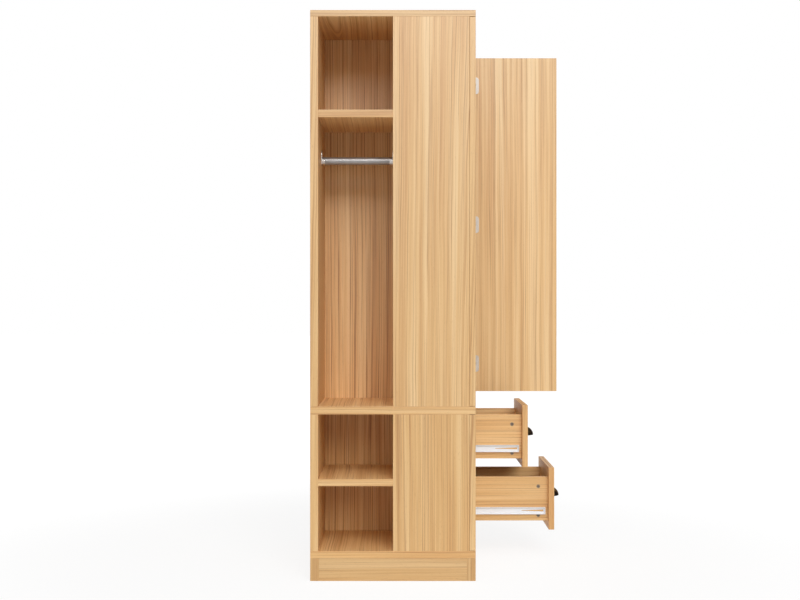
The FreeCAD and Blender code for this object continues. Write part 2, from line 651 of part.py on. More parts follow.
def roller(x0, x1, y, z, radius):
    """A nylon roller and the bore for its axle."""
    wheel = rod(radius, (x0, y, z), (x1, y, z))
    wheel = wheel.makeFillet(ROLLER_EDGE_R, wheel.Edges)
    return wheel.cut(rod(ROLLER_AXLE_R + PIN_CLEARANCE, (x0 - 1, y, z), (x1 + 1, y, z)))


def fixed_rail(x_wall, inward, z):
    """The slide member on a case wall, its roller and the roller's axle."""
    y0 = Y_DOOR_IN + SLIDE_SETBACK + RAIL_FRONT_ROOM
    y1 = y0 + SLIDE_L
    y_roller = y0 + FRONT_ROLLER_R + SLIDE_SHEET
    y_channel = y_roller + FRONT_ROLLER_R + RAIL_FRONT_ROOM
    half = FIXED_RAIL_H / 2

    def span(a, b, *rest):
        xs = sorted((x_wall + inward * a, x_wall + inward * b))
        return block(xs[0], xs[1], *rest)

    depth = SLIDE_SHEET + RAIL_FLANGE
    rail = span(0, SLIDE_SHEET, y0, y1, z - half, z + half)
    rail = rail.fuse([
        span(0, depth, y_channel, y1, z + half - SLIDE_SHEET, z + half),
        span(0, depth, y_channel, y1, z - half, z - half + SLIDE_SHEET),
    ])
    xs = sorted((x_wall, x_wall + inward * (SLIDE_SHEET + RAIL_FLANGE)))
    axle = rod(ROLLER_AXLE_R, (xs[0], y_roller, z), (xs[1], y_roller, z))
    near = SLIDE_SHEET + ROLLER_ROOM
    rx = sorted((x_wall + inward * near, x_wall + inward * (near + ROLLER_T)))
    wheel = roller(rx[0], rx[1], y_roller, z, FRONT_ROLLER_R)
    return rail.fuse(axle).removeSplitter(), wheel


def make_drawer(name, z_front, front_h, out):
    """A drawer: front, box, slides, rollers, cams and pull, drawn out by the given distance."""
    x0, x1 = X_MEETING + MEETING_GAP / 2, X_RIGHT - REVEAL
    bx0, bx1 = X_PART_RIGHT + SLIDE_ROOM, X_RIGHT_IN - SLIDE_ROOM
    by0, by1 = Y_DOOR_IN, Y_DOOR_IN + BOX_LENGTH
    bz0 = z_front + BOX_BOTTOM_DROP
    bz1 = bz0 + BOX_SIDE_H
    slide_z = bz0 + SLIDE_AXIS_RISE
    out_vector = Vector(0, -out, 0)
    parts = {
        "front": [board(x0, x1, Y_FRONT, Y_DOOR_IN, z_front, z_front + front_h)],
        "sides": [
            board(bx0, bx0 + BOX_SIDE_T, by0, by1, bz0, bz1, BOX_EDGE_R),
            board(bx1 - BOX_SIDE_T, bx1, by0, by1, bz0, bz1, BOX_EDGE_R),
        ],
        "back": [board(bx0 + BOX_SIDE_T, bx1 - BOX_SIDE_T, by1 - BOX_SIDE_T, by1, bz0, bz1, BOX_EDGE_R)],
        "slides": [],
        "rollers": [],
        "fasteners": [],
    }
    floor_z = bz0 + BOX_BOTTOM_RISE
    floor = block(bx0 + BOX_SIDE_T - BOX_GROOVE, bx1 - BOX_SIDE_T + BOX_GROOVE, by0 - BOX_GROOVE,
                  by1 - BOX_SIDE_T + BOX_GROOVE, floor_z, floor_z + BOX_BOTTOM_T)
    parts["bottom"] = [floor]
    takes = {"front": [floor], "sides": [floor], "back": [floor]}
    for x_face, inward in ((bx0, 1), (bx1, -1)):
        for rise in BOX_CAM_HEIGHTS:
            z = bz0 + rise
            cam = Part.makeCylinder(CAM_R, CAM_T, Vector(x_face, by0 + CAM_FROM_END, z), Vector(inward, 0, 0))
            x_mid = x_face + inward * BOX_SIDE_T / 2
            bolt = rod(BOLT_R, (x_mid, by0 - BOLT_IN, z), (x_mid, by0 + CAM_FROM_END - CAM_R, z))
            parts["fasteners"] += [cam, bolt]
            takes["sides"] += [cam, bolt]
            takes["front"].append(bolt)
        rail = moving_rail(x_face, -inward, by0 + SLIDE_SETBACK, slide_z)
        y_roller = by0 + SLIDE_SETBACK + SLIDE_L - REAR_ROLLER_R - SLIDE_SHEET
        xs = sorted((x_face, x_face - inward * (SLIDE_SHEET + RAIL_FLANGE)))
        axle = rod(ROLLER_AXLE_R, (xs[0], y_roller, slide_z), (xs[1], y_roller, slide_z))
        parts["slides"].append(rail.fuse(axle).removeSplitter())
        near = SLIDE_SHEET + ROLLER_ROOM
        rx = sorted((x_face - inward * near, x_face - inward * (near + ROLLER_T)))
        parts["rollers"].append(roller(rx[0], rx[1], y_roller, slide_z, REAR_ROLLER_R))
        x_wall = X_PART_RIGHT if inward > 0 else X_RIGHT_IN
        fixed, wheel = fixed_rail(x_wall, inward, slide_z)
        add("fixed_slide_rails", fixed)
        add("fixed_slide_rollers", wheel)
    x_mid = (x0 + x1) / 2
    z_mid = z_front + front_h / 2 + PULL_RISE
    parts["pull"] = [cup_pull(x_mid, z_mid)]
    for dx in (-PULL_POST_PITCH / 2, PULL_POST_PITCH / 2):
        fastener = screw(PULL_SCREW_R, PULL_SCREW_HEAD_R, DOOR_T + PULL_SCREW_IN,
                         (x_mid + dx, Y_DOOR_IN, z_mid), (0, -1, 0))
        parts["fasteners"].append(fastener)
        takes["front"].append(fastener)
    for key, shapes in parts.items():
        for shape in shapes:
            if key in takes:
                shape = shape.cut(takes[key])
            shape.translate(out_vector)
            add(name + "_" + key, shape)


def make_drawers():
    """The two drawers of the lower right bay."""
    room = Z_DIVIDER - Z_BOTTOM_TOP
    front_h = (room - 3 * LEVEL_GAP) / 2
    z_lower = Z_BOTTOM_TOP + LEVEL_GAP
    make_drawer("lower_drawer", z_lower, front_h, LOWER_DRAWER_OUT)
    make_drawer("upper_drawer", z_lower + front_h + LEVEL_GAP, front_h, UPPER_DRAWER_OUT)


# --------------------------------------------------------------- coat rails
def rail_bracket(hub, direction):
    """A bracket on a wall: a plate, an open cradle and two screws. direction leads off the wall."""
    half = BRACKET_W / 2
    plate = block(-half, half, 0, BRACKET_PLATE_T, -BRACKET_DOWN, BRACKET_UP)
    across = [e for e in plate.Edges if abs(e.Length - BRACKET_PLATE_T) < 1e-6]
    plate = plate.makeFillet(BRACKET_CORNER_R, across)
    outer = rod(RAIL_R + BRACKET_WALL, (0, 0, 0), (0, BRACKET_CRADLE, 0))
    bore = rod(RAIL_R, (0, BRACKET_PLATE_T, 0), (0, BRACKET_CRADLE + 1, 0))
    mouth = block(-RAIL_R, RAIL_R, BRACKET_PLATE_T, BRACKET_CRADLE + 1, 0, BRACKET_UP)
    lid = block(-2 * half, 2 * half, BRACKET_PLATE_T, BRACKET_CRADLE + 1, BRACKET_LIP, BRACKET_UP)
    bracket = plate.fuse(outer.cut([bore, mouth, lid]))
    screws = []
    for z in (BRACKET_UP - BRACKET_SCREW_DROP, RAIL_R + BRACKET_SCREW_LOW):
        screws.append(screw(BRACKET_SCREW_R, BRACKET_SCREW_HEAD_R, BRACKET_SCREW_L,
                            (0, BRACKET_PLATE_T, z), (0, -1, 0)))
    bracket = bracket.cut(screws).removeSplitter()
    turn = math.degrees(math.atan2(direction[1], direction[0])) - 90
    placed = []
    for shape in [bracket] + screws:
        shape.rotate(Vector(0, 0, 0), Vector(0, 0, 1), turn)
        shape.translate(Vector(*hub))
        placed.append(shape)
    return placed[0], placed[1:]


def make_coat_rail(node, start, end, walls):
    """A tube between two walls, in two brackets."""
    direction = Vector(*end) - Vector(*start)
    direction.normalize()
    a = Vector(*start) + direction * BRACKET_PLATE_T
    b = Vector(*end) - direction * BRACKET_PLATE_T
    tube = Part.makeCylinder(RAIL_R, (b - a).Length, a, direction)
    bore = Part.makeCylinder(RAIL_R - RAIL_WALL, (b - a).Length, a, direction)
    add(node, tube.cut(bore))
    for hub, facing, wall in ((start, direction, walls[0]), (end, -direction, walls[1])):
        bracket, screws = rail_bracket(hub, (facing.x, facing.y))
        add("rail_brackets", bracket, *screws)
        cut(wall, *screws)


def make_coat_rails():
    """One rail in the side-facing hanging space and one across the right bay."""
    x = (X_LEFT + X_PART_LEFT) / 2
    make_coat_rail("coat_rail_left", (x, Y_CROSS_REAR, RAIL_Z), (x, Y_REAR_WALL, RAIL_Z),
                   ("cross_wall_upper", "rear_wall_upper"))
    make_coat_rail("coat_rail_right", (X_PART_RIGHT, 0, RAIL_Z), (X_RIGHT_IN, 0, RAIL_Z),
                   ("partition_upper", "side_panel_right_upper"))


def export():
    """Cut the holes and write one file per node."""
    os.makedirs("parts", exist_ok=True)
    for node, shapes in solids.items():
        takes = cutters.get(node)
        done = [shape.cut(takes) if takes else shape for shape in shapes]
        whole = done[0] if len(done) == 1 else Part.makeCompound(done)
        whole.exportStep("parts/" + node + ".step")
        print(node, len(whole.Solids), round(whole.Volume), whole.isValid())


make_case()
make_loose_shelves()
make_joinery()
make_doors()
make_drawers()
make_coat_rails()
export()
print("nodes", len(solids))
print("fixed pivot", FIXED_PIVOT, "door pivot closed", DOOR_PIVOT, "open", DOOR_PIVOT_OPEN)
print("link swing", LINK_SWING_DEG, "ratio", LINK_SWING_DEG / (90 - LINK_SWING_DEG))
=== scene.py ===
"""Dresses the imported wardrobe: wood-grain boards, metal fittings, small hardware, floor and light.

Every length is in metres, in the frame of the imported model: +X is to the right seen from the
front, -Y is the front and +Z is up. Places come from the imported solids, so nothing is fitted here.
"""

import json
import logging
import math
import random
from collections.abc import Iterable, Sequence
from dataclasses import dataclass, field
from enum import Enum

import bmesh
import bpy
from mathutils import Matrix, Vector

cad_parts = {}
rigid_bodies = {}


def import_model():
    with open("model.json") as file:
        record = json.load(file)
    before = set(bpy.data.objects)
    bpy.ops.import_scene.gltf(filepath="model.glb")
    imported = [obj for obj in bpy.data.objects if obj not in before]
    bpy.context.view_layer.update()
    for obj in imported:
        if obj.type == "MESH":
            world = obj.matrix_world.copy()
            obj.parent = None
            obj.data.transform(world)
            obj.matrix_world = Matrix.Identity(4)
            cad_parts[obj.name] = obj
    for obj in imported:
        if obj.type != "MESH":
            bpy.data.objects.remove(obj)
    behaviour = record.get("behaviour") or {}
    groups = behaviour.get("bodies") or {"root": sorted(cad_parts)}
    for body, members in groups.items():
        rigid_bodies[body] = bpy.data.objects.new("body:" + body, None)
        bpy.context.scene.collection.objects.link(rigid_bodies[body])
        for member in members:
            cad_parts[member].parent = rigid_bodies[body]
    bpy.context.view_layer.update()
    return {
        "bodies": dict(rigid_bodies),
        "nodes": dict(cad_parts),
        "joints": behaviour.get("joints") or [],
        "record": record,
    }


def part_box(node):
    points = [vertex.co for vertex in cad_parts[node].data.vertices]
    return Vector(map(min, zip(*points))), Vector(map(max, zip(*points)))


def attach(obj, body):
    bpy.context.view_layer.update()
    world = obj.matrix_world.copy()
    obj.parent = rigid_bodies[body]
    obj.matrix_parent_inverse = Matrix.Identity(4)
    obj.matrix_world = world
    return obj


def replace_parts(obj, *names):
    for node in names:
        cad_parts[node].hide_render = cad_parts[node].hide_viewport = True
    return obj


LOG = logging.getLogger("wardrobe")
MM = 0.001
MIX_FACTOR = 0
MIX_FIRST = 6
MIX_SECOND = 7
MIX_RESULT = 2
VECTOR_FIRST = 4
VECTOR_SECOND = 5
VECTOR_RESULT = 1
MERGE_REACH = 0.002 * MM
FLAT_ENOUGH = 0.01 * MM
ROUND_ENOUGH = 0.15 * MM
HEAD_RADII = (3.3 * MM, 5.0 * MM)
WHITE = (1.0, 1.0, 1.0, 1.0)

Colour = tuple[float, float, float, float]
Socket = bpy.types.NodeSocket
Feed = Socket | float | tuple
Span = tuple[float, float]


class Axis(Enum):
    """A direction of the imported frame, valued by its place in a vector."""

    X = 0
    Y = 1
    Z = 2


def screen(red: int, green: int, blue: int) -> Colour:
    """Turn a screen colour into the linear colour that shaders take.

    Args:
        red: Red, 0 to 255.
        green: Green, 0 to 255.
        blue: Blue, 0 to 255.

    Returns:
        The linear colour with full opacity.
    """
    linear = []
    for level in (red, green, blue):
        share = level / 255
        linear.append(share / 12.92 if share <= 0.04045 else ((share + 0.055) / 1.055) ** 2.4)
    return linear[0], linear[1], linear[2], 1.0


class Graph:
    """A node tree with short ways to add and join its nodes."""

    def __init__(self, tree: bpy.types.NodeTree) -> None:
        """Work on a node tree."""
        self.tree = tree

    def add(self, kind: str, inputs: dict | None = None, **settings) -> bpy.types.Node:
        """Add a node.

        Args:
            kind: The node's type name.
            inputs: What goes into its sockets, by name or number.
            settings: The node's own settings.

        Returns:
            The new node.
        """
        node = self.tree.nodes.new(kind)
        for name, value in settings.items():
            setattr(node, name, value)
        for name, value in (inputs or {}).items():
            self.feed(node.inputs[name], value)
        return node

    def feed(self, socket: Socket, value: Feed) -> None:
        """Join a socket to another one, or set it to a fixed value.

        Args:
            socket: The socket that takes the value.
            value: Another socket, or the fixed value.
        """
        if isinstance(value, bpy.types.NodeSocket):
            self.tree.links.new(value, socket)
        else:
            socket.default_value = value

    def math(self, operation: str, first: Feed, second: Feed = 0.0, clamp: bool = False) -> Socket:
        """Return the result of a sum on one or two numbers."""
        inputs = {0: first, 1: second}
        return self.add("ShaderNodeMath", inputs, operation=operation, use_clamp=clamp).outputs[0]

    def multiply_add(self, value: Feed, factor: Feed, extra: Feed) -> Socket:
        """Return a number times a factor, plus an extra."""
        inputs = {0: value, 1: factor, 2: extra}
        return self.add("ShaderNodeMath", inputs, operation="MULTIPLY_ADD").outputs[0]

    def vector(self, x: Feed, y: Feed, z: Feed) -> Socket:
        """Return a vector made of three numbers."""
        return self.add("ShaderNodeCombineXYZ", {0: x, 1: y, 2: z}).outputs[0]

    def noise(self, place: Feed, scale: float = 1.0, detail: float = 2.0, roughness: float = 0.5) -> Socket:
        """Return smooth noise of 0 to 1 at a place."""
        inputs = {"Vector": place, "Scale": scale, "Detail": detail, "Roughness": roughness}
        return self.add("ShaderNodeTexNoise", inputs).outputs[0]

    def ramp(self, factor: Feed, stops: Sequence[tuple[float, Colour]]) -> Socket:
        """Return the colour that a ramp has at a factor.

        Args:
            factor: Where to read the ramp, 0 to 1.
            stops: Places and colours, from low to high.

        Returns:
            The colour socket.
        """
        node = self.add("ShaderNodeValToRGB", {0: factor})
        points = node.color_ramp.elements
        while len(points) < len(stops):
            points.new(0.5)
        for point, (place, colour) in zip(points, stops):
            point.position = place
            point.color = colour
        return node.outputs[0]

    def span(self, value: Feed, low: float, high: float, to_low: float = 0.0, to_high: float = 1.0) -> Socket:
        """Return a number moved smoothly from one range to another, and kept inside it."""
        inputs = {"Value": value, "From Min": low, "From Max": high, "To Min": to_low, "To Max": to_high}
        return self.add("ShaderNodeMapRange", inputs, interpolation_type="SMOOTHSTEP").outputs[0]

    def mix(self, factor: Feed, first: Feed, second: Feed, blend: str = "MIX") -> Socket:
        """Return two colours mixed by a factor."""
        inputs = {MIX_FACTOR: factor, MIX_FIRST: first, MIX_SECOND: second}
        return self.add("ShaderNodeMix", inputs, data_type="RGBA", blend_type=blend).outputs[MIX_RESULT]

    def mix_vector(self, factor: Feed, first: Feed, second: Feed) -> Socket:
        """Return two vectors mixed by a factor."""
        inputs = {MIX_FACTOR: factor, VECTOR_FIRST: first, VECTOR_SECOND: second}
        return self.add("ShaderNodeMix", inputs, data_type="VECTOR").outputs[VECTOR_RESULT]


@dataclass(frozen=True)
class Finish:
    """What every finish shares: a material with one surface shader and a bump."""

    bump_height: float = 0.05 * MM

    def start(self, name: str) -> tuple[bpy.types.Material, Graph, bpy.types.Node]:
        """Make a material that holds only its surface shader.

        Args:
            name: The material's name.

        Returns:
            The material, its graph and the surface shader.
        """
        material = bpy.data.materials.new(name)
        material.use_nodes = True
        graph = Graph(material.node_tree)
        return material, graph, material.node_tree.nodes["Principled BSDF"]

    def emboss(self, graph: Graph, shader: bpy.types.Node, height: Socket, strength: float = 1.0) -> None:
        """Let a height from 0 to 1 raise the surface by the finish's bump height."""
        inputs = {"Height": height, "Strength": strength, "Distance": self.bump_height}
        graph.feed(shader.inputs["Normal"], graph.add("ShaderNodeBump", inputs).outputs[0])


@dataclass(frozen=True)
class BoardFinish(Finish):
    """Light ash-look board: long growth lines, wandering lanes of tone, fibres and open pores.

    A pace is how many noise steps fall on one growth ring and on one metre along the grain. A band
    is the pair of noise levels between which a mark fades in.
    """

    cream: Colour = screen(237, 200, 145)
    honey: Colour = screen(224, 180, 120)
    tan: Colour = screen(207, 156, 97)
    line: Colour = screen(166, 112, 64)
    # Darkens the board's ends: the deeper tone of edge banding, partly painted shade against the faces that
    # painted light brightens.
    banding_tone_and_shade: Colour = (0.88, 0.86, 0.84, 1.0)
    broad_pace: Span = (0.20, 0.7)
    narrow_pace: Span = (0.62, 0.5)
    line_pace: Span = (1.35, 0.9)
    thread_pace: Span = (2.1, 1.2)
    fibre_pace: Span = (5.0, 7.0)
    lane_levels: tuple[float, float, float] = (0.37, 0.50, 0.62)
    line_band: Span = (0.46, 0.36)
    thread_dark_band: Span = (0.50, 0.30)
    thread_light_band: Span = (0.50, 0.70)
    fibre_band: Span = (0.35, 0.75)
    pore_band: Span = (0.66, 0.74)
    edge_band: Span = (0.995, 0.80)
    line_weight: float = 0.62
    thread_dark: float = 0.42
    thread_light: float = 0.45
    fibre_weight: float = 0.30
    pore_weight: float = 0.35
    edge_weight: float = 0.35
    strong_figure: float = 1.9
    ring_spacing: float = 6.5 * MM
    tilt: float = 0.022
    wander: float = 16 * MM
    waver: float = 2.6 * MM
    sway_scale: Span = (1.3, 5.0)
    shiver_scale: Span = (7.0, 14.0)
    lift_seed: float = 31.7
    pore_width: float = 0.5 * MM
    pore_length: float = 14 * MM
    roughness: float = 0.50
    smoother_line: float = 0.07
    smoother_field: float = 0.05
    relief: float = 0.6
    fibre_height: float = 0.5
    line_depth: float = 0.3
    end_slope: float = 0.7
    banding_depth: float = 20 * MM
    heart_along: Span = (-0.1, 0.4)
    heart_depth_mm: Span = (25, 60)
    straight_hearts: tuple[float, ...] = (-0.45, -0.3, 1.3, 1.45)
    free_hearts: tuple[float, ...] = (-0.3, -0.12, 0.12, 0.86, 1.12, 1.3)
    level_reach: Span = (0.97, 1.03)
    seed_reach: Span = (0, 400)

    def figure(self) -> bpy.types.NodeTree:
        """Build the grain as a group that all boards share.

        The group takes a place as (along the grain, across it, away from the heart) in metres, a
        seed, a shade (a random tone times the board's painted light) and how strongly the lines
        show, and gives colour, roughness and height.

        Returns:
            The node group.
        """
        tree = bpy.data.node_groups.new("board_figure", "ShaderNodeTree")
        for name, kind in (("Place", "Vector"), ("Seed", "Float"), ("Shade", "Color"), ("Figure", "Float")):
            tree.interface.new_socket(name, in_out="INPUT", socket_type="NodeSocket" + kind)
        for name, kind in (("Color", "Color"), ("Roughness", "Float"), ("Height", "Float")):
            tree.interface.new_socket(name, in_out="OUTPUT", socket_type="NodeSocket" + kind)
        graph = Graph(tree)
        entry = graph.add("NodeGroupInput").outputs
        along, across, depth = graph.add("ShaderNodeSeparateXYZ", {0: entry["Place"]}).outputs
        rings = self.growth(graph, along, across, depth, entry["Seed"])
        lay = (rings, along, entry["Seed"])
        broad = self.streaks(graph, lay, self.broad_pace, detail=1.0)
        narrow = self.streaks(graph, lay, self.narrow_pace, detail=4.0, roughness=0.7)
        lines = self.streaks(graph, lay, self.line_pace, detail=4.0, roughness=0.62)
        threads = self.streaks(graph, lay, self.thread_pace, detail=2.0, roughness=0.6)
        fibre = self.streaks(graph, lay, self.fibre_pace, detail=3.0, roughness=0.7)
        pores = self.pores(graph, along, across, depth)
        lanes = graph.math("ADD", graph.math("MULTIPLY", broad, 0.5), graph.math("MULTIPLY", narrow, 0.5))
        colour = graph.ramp(lanes, tuple(zip(self.lane_levels, (self.tan, self.honey, self.cream))))
        line_mask = graph.span(lines, *self.line_band)
        weight = graph.math("MULTIPLY", entry["Figure"], self.line_weight)
        line_share = graph.math("MULTIPLY", line_mask, weight)
        dark = graph.span(threads, *self.thread_dark_band, 0.0, self.thread_dark)
        dark_share = graph.math("MULTIPLY", dark, entry["Figure"], clamp=True)
        light_share = graph.span(threads, *self.thread_light_band, 0.0, self.thread_light)
        fibre_share = graph.span(fibre, *self.fibre_band, 0.0, self.fibre_weight)
        pore_share = graph.math("MULTIPLY", pores, self.pore_weight)
        layers = (
            (line_share, self.line), (dark_share, self.line), (light_share, self.cream),
            (fibre_share, self.cream), (pore_share, self.line),
        )
        for share, tone in layers:
            colour = graph.mix(share, colour, tone)
        colour = graph.mix(1.0, colour, entry["Shade"], "MULTIPLY")
        rough_ends = (self.roughness + self.smoother_line, self.roughness - self.smoother_field)
        rough = graph.span(lines, 0.2, 0.8, *rough_ends)
        height = graph.math("SUBTRACT", graph.math("MULTIPLY", fibre, self.fibre_height), pores)
        height = graph.math("SUBTRACT", height, graph.math("MULTIPLY", line_mask, self.line_depth))
        graph.add("NodeGroupOutput", {"Color": colour, "Roughness": rough, "Height": height})
        return tree

    def streaks(
        self, graph: Graph, lay: Sequence[Socket], pace: Span, detail: float, roughness: float = 0.5
    ) -> Socket:
        """Make noise that follows the growth lines and changes slowly along them.

        Args:
            graph: The group's graph.
            lay: The ring count, the place along the grain and the board's seed.
            pace: Noise steps on one ring and on one metre along the grain.
            detail: The noise's detail.
            roughness: The noise's roughness.

        Returns:
            The noise, 0 to 1.
        """
        rings, along, seed = lay
        steps = (graph.math("MULTIPLY", rings, pace[0]), graph.math("MULTIPLY", along, pace[1]))
        return graph.noise(graph.vector(*steps, seed), detail=detail, roughness=roughness)

    def growth(self, graph: Graph, along: Socket, across: Socket, depth: Socket, seed: Socket) -> Socket:
        """Count growth rings from a heart line that leans against the board.

        Args:
            graph: The group's graph.
            along: Place along the grain.
            across: Place across the grain.
            depth: Place away from the heart.
            seed: The board's seed.

        Returns:
            How many rings lie between the heart and the place.
        """
        slow = [graph.math("MULTIPLY", way, scale) for way, scale in zip((along, across), self.sway_scale)]
        quick = [graph.math("MULTIPLY", way, scale) for way, scale in zip((along, across), self.shiver_scale)]
        sway = graph.noise(graph.vector(*slow, seed), detail=2.0)
        lift = graph.noise(graph.vector(*slow, graph.math("ADD", seed, self.lift_seed)), detail=3.0)
        shiver = graph.noise(graph.vector(*quick, seed))
        leaning = graph.multiply_add(along, self.tilt, depth)
        bent = graph.multiply_add(graph.math("SUBTRACT", sway, 0.5), self.wander, across)
        waved = graph.multiply_add(graph.math("SUBTRACT", shiver, 0.5), self.waver, bent)
        raised = graph.multiply_add(graph.math("SUBTRACT", lift, 0.5), self.wander, leaning)
        squares = [graph.math("POWER", graph.math("ABSOLUTE", way), 2.0) for way in (waved, raised)]
        return graph.math("DIVIDE", graph.math("SQRT", graph.math("ADD", *squares)), self.ring_spacing)

    def pores(self, graph: Graph, along: Socket, across: Socket, depth: Socket) -> Socket:
        """Make short dark dashes that lie along the grain.

        Args:
            graph: The group's graph.
            along: Place along the grain.
            across: Place across the grain.
            depth: Place away from the heart.

        Returns:
            Where a pore is open, 0 to 1.
        """
        thin = 1 / self.pore_width / 2
        scales = ((along, 1 / self.pore_length), (across, thin), (depth, thin))
        place = graph.vector(*(graph.math("MULTIPLY", way, scale) for way, scale in scales))
        return graph.span(graph.noise(place, detail=1.0), *self.pore_band)

    def board(
        self, name: str, figure: bpy.types.NodeTree, lie: "Lie", box: tuple[Vector, Vector]
    ) -> bpy.types.Material:
        """Make the material of one board.

        Args:
            name: The board's node name.
            figure: The shared grain.
            lie: How the board's grain runs.
            box: The board's lowest and highest corner.

        Returns:
            The board's material.
        """
        material, graph, shader = self.start("board_" + name)
        draw = random.Random(name)
        grain, through, third = lie.axes()
        low, high = box
        heart = [0.0, 0.0, 0.0]
        heart[grain] = low[grain] + (high[grain] - low[grain]) * draw.uniform(*self.heart_along)
        shares = self.straight_hearts if name.startswith(STRAIGHT_BOARDS) else self.free_hearts
        heart[third] = low[third] + (high[third] - low[third]) * draw.choice(shares)
        heart[through] = low[through] - draw.uniform(*self.heart_depth_mm) * MM
        texture = graph.add("ShaderNodeTexCoord").outputs
        to_heart = {"Vector": texture["Object"], "Location": [-value for value in heart]}
        centred = graph.add("ShaderNodeMapping", to_heart).outputs[0]
        place = graph.add("ShaderNodeSeparateXYZ", {0: centred}).outputs
        facing = graph.add("ShaderNodeSeparateXYZ", {0: texture["Normal"]}).outputs
        at_end = graph.math("GREATER_THAN", graph.math("ABSOLUTE", facing[grain]), self.end_slope)
        face = graph.vector(place[grain], place[third], place[through])
        banding = graph.vector(place[third], place[through], self.banding_depth)
        chosen = graph.mix_vector(at_end, face, banding)
        # Painted light: the board's tint from the painted-light table, times a random level of tone.
        tone = next((light_tint for start, light_tint in BOARD_PAINTED_LIGHT if name.startswith(start)), WHITE[:3])
        level = draw.uniform(*self.level_reach)
        shade = (*(level * part for part in tone), 1.0)
        strength = self.strong_figure if name.startswith("partition") else 1.0
        inputs = {"Place": chosen, "Seed": draw.uniform(*self.seed_reach), "Shade": shade, "Figure": strength}
        group = graph.add("ShaderNodeGroup", node_tree=figure)
        for key, value in inputs.items():
            graph.feed(group.inputs[key], value)
        # The ends take the banding tint: partly the banding's own deeper tone, partly painted shade that
        # keeps them darker than the faces brightened by painted light.
        banded = 0.0 if name.startswith("plinth") else at_end
        trim = graph.mix(banded, group.outputs["Color"], self.banding_tone_and_shade, "MULTIPLY")
        graph.feed(shader.inputs["Base Color"], self.eased_edges(graph, facing, trim))
        graph.feed(shader.inputs["Roughness"], group.outputs["Roughness"])
        self.emboss(graph, shader, group.outputs["Height"], self.relief)
        return material

    def eased_edges(self, graph: Graph, facing: Sequence[Socket], colour: Socket) -> Socket:
        """Give the eased edges a slightly deeper tone, mixed towards tan along each board's border.

        Args:
            graph: The material's graph.
            facing: The three parts of the surface's direction.
            colour: The board's colour.

        Returns:
            The colour with its edges.
        """
        sizes = [graph.math("ABSOLUTE", part) for part in facing]
        widest = graph.math("MAXIMUM", graph.math("MAXIMUM", sizes[0], sizes[1]), sizes[2])
        edge = graph.span(widest, *self.edge_band, 0.0, self.edge_weight)
        return graph.mix(edge, colour, self.tan)


@dataclass(frozen=True)
class MetalFinish(Finish):
    """A metal with drawn or cast marks, smudges, small changes of tone and painted shade in the recesses of
    screw heads and cams.
    """

    light: Colour = screen(232, 230, 226)
    dark: Colour = screen(196, 193, 188)
    # Painted shade for the recesses of screw heads and cams.
    shade: Colour = screen(70, 66, 60)
    roughness: float = 0.25
    spread: float = 0.10
    mark_scale: tuple[float, float, float] = (900.0, 900.0, 900.0)
    smudge_scale: float = 38.0
    mark_strength: float = 0.3
    mark_share: float = 0.6
    tone_levels: Span = (0.35, 0.62)
    recess_weight: float = 0.55
    metallic: float = 1.0

    def material(self, name: str) -> bpy.types.Material:
        """Make the metal's material.

        Args:
            name: The material's name.

        Returns:
            The material.
        """
        material, graph, shader = self.start(name)
        place = graph.add("ShaderNodeTexCoord").outputs["Object"]
        marks = graph.add("ShaderNodeMapping", {"Vector": place, "Scale": self.mark_scale}).outputs[0]
        scratch = graph.noise(marks, detail=4.0, roughness=0.6)
        smudge = graph.noise(place, self.smudge_scale, detail=3.0, roughness=0.55)
        weights = ((scratch, self.mark_share), (smudge, 1 - self.mark_share))
        tone = graph.math("ADD", *(graph.math("MULTIPLY", level, weight) for level, weight in weights))
        colour = graph.ramp(tone, tuple(zip(self.tone_levels, (self.dark, self.light))))
        # Painted shade: the recess attribute, 0 to 1, darkens the recesses of screw heads and cams towards
        # the shade colour.
        recess = graph.add("ShaderNodeAttribute", attribute_name="recess").outputs["Fac"]
        recess_share = graph.math("MULTIPLY", recess, self.recess_weight)
        graph.feed(shader.inputs["Base Color"], graph.mix(recess_share, colour, self.shade))
        rough_ends = (self.roughness - self.spread / 2, self.roughness + self.spread / 2)
        graph.feed(shader.inputs["Roughness"], graph.span(smudge, 0.3, 0.7, *rough_ends))
        shader.inputs["Metallic"].default_value = self.metallic
        self.emboss(graph, shader, scratch, self.mark_strength)
        return material


@dataclass(frozen=True)
class BronzeFinish(Finish):
    """Dark oiled bronze that is rubbed to a warmer tone in patches."""

    skin: Colour = screen(22, 18, 14)
    rubbed: Colour = screen(158, 130, 86)
    patch_scale: float = 60.0
    grit_scale: float = 1400.0
    rub_band: Span = (0.46, 0.78)
    rub_weight: float = 0.6
    roughness: float = 0.17
    roughness_reach: Span = (-0.06, 0.10)
    metallic: float = 0.85
    gloss: float = 0.3
    gloss_tint: Colour = screen(176, 158, 128)
    grit_strength: float = 0.35

    def material(self, name: str) -> bpy.types.Material:
        """Make the bronze's material.

        Args:
            name: The material's name.

        Returns:
            The material.
        """
        material, graph, shader = self.start(name)
        place = graph.add("ShaderNodeTexCoord").outputs["Object"]
        patch = graph.noise(place, self.patch_scale, detail=4.0, roughness=0.65)
        grit = graph.noise(place, self.grit_scale, detail=2.0)
        rub = graph.span(patch, *self.rub_band, 0.0, self.rub_weight)
        graph.feed(shader.inputs["Base Color"], graph.mix(rub, self.skin, self.rubbed))
        rough_ends = (self.roughness + change for change in self.roughness_reach)
        graph.feed(shader.inputs["Roughness"], graph.span(grit, 0.3, 0.7, *rough_ends))
        shader.inputs["Metallic"].default_value = self.metallic
        shader.inputs["Specular IOR Level"].default_value = self.gloss
        shader.inputs["Specular Tint"].default_value = self.gloss_tint
        self.emboss(graph, shader, grit, self.grit_strength)
        return material


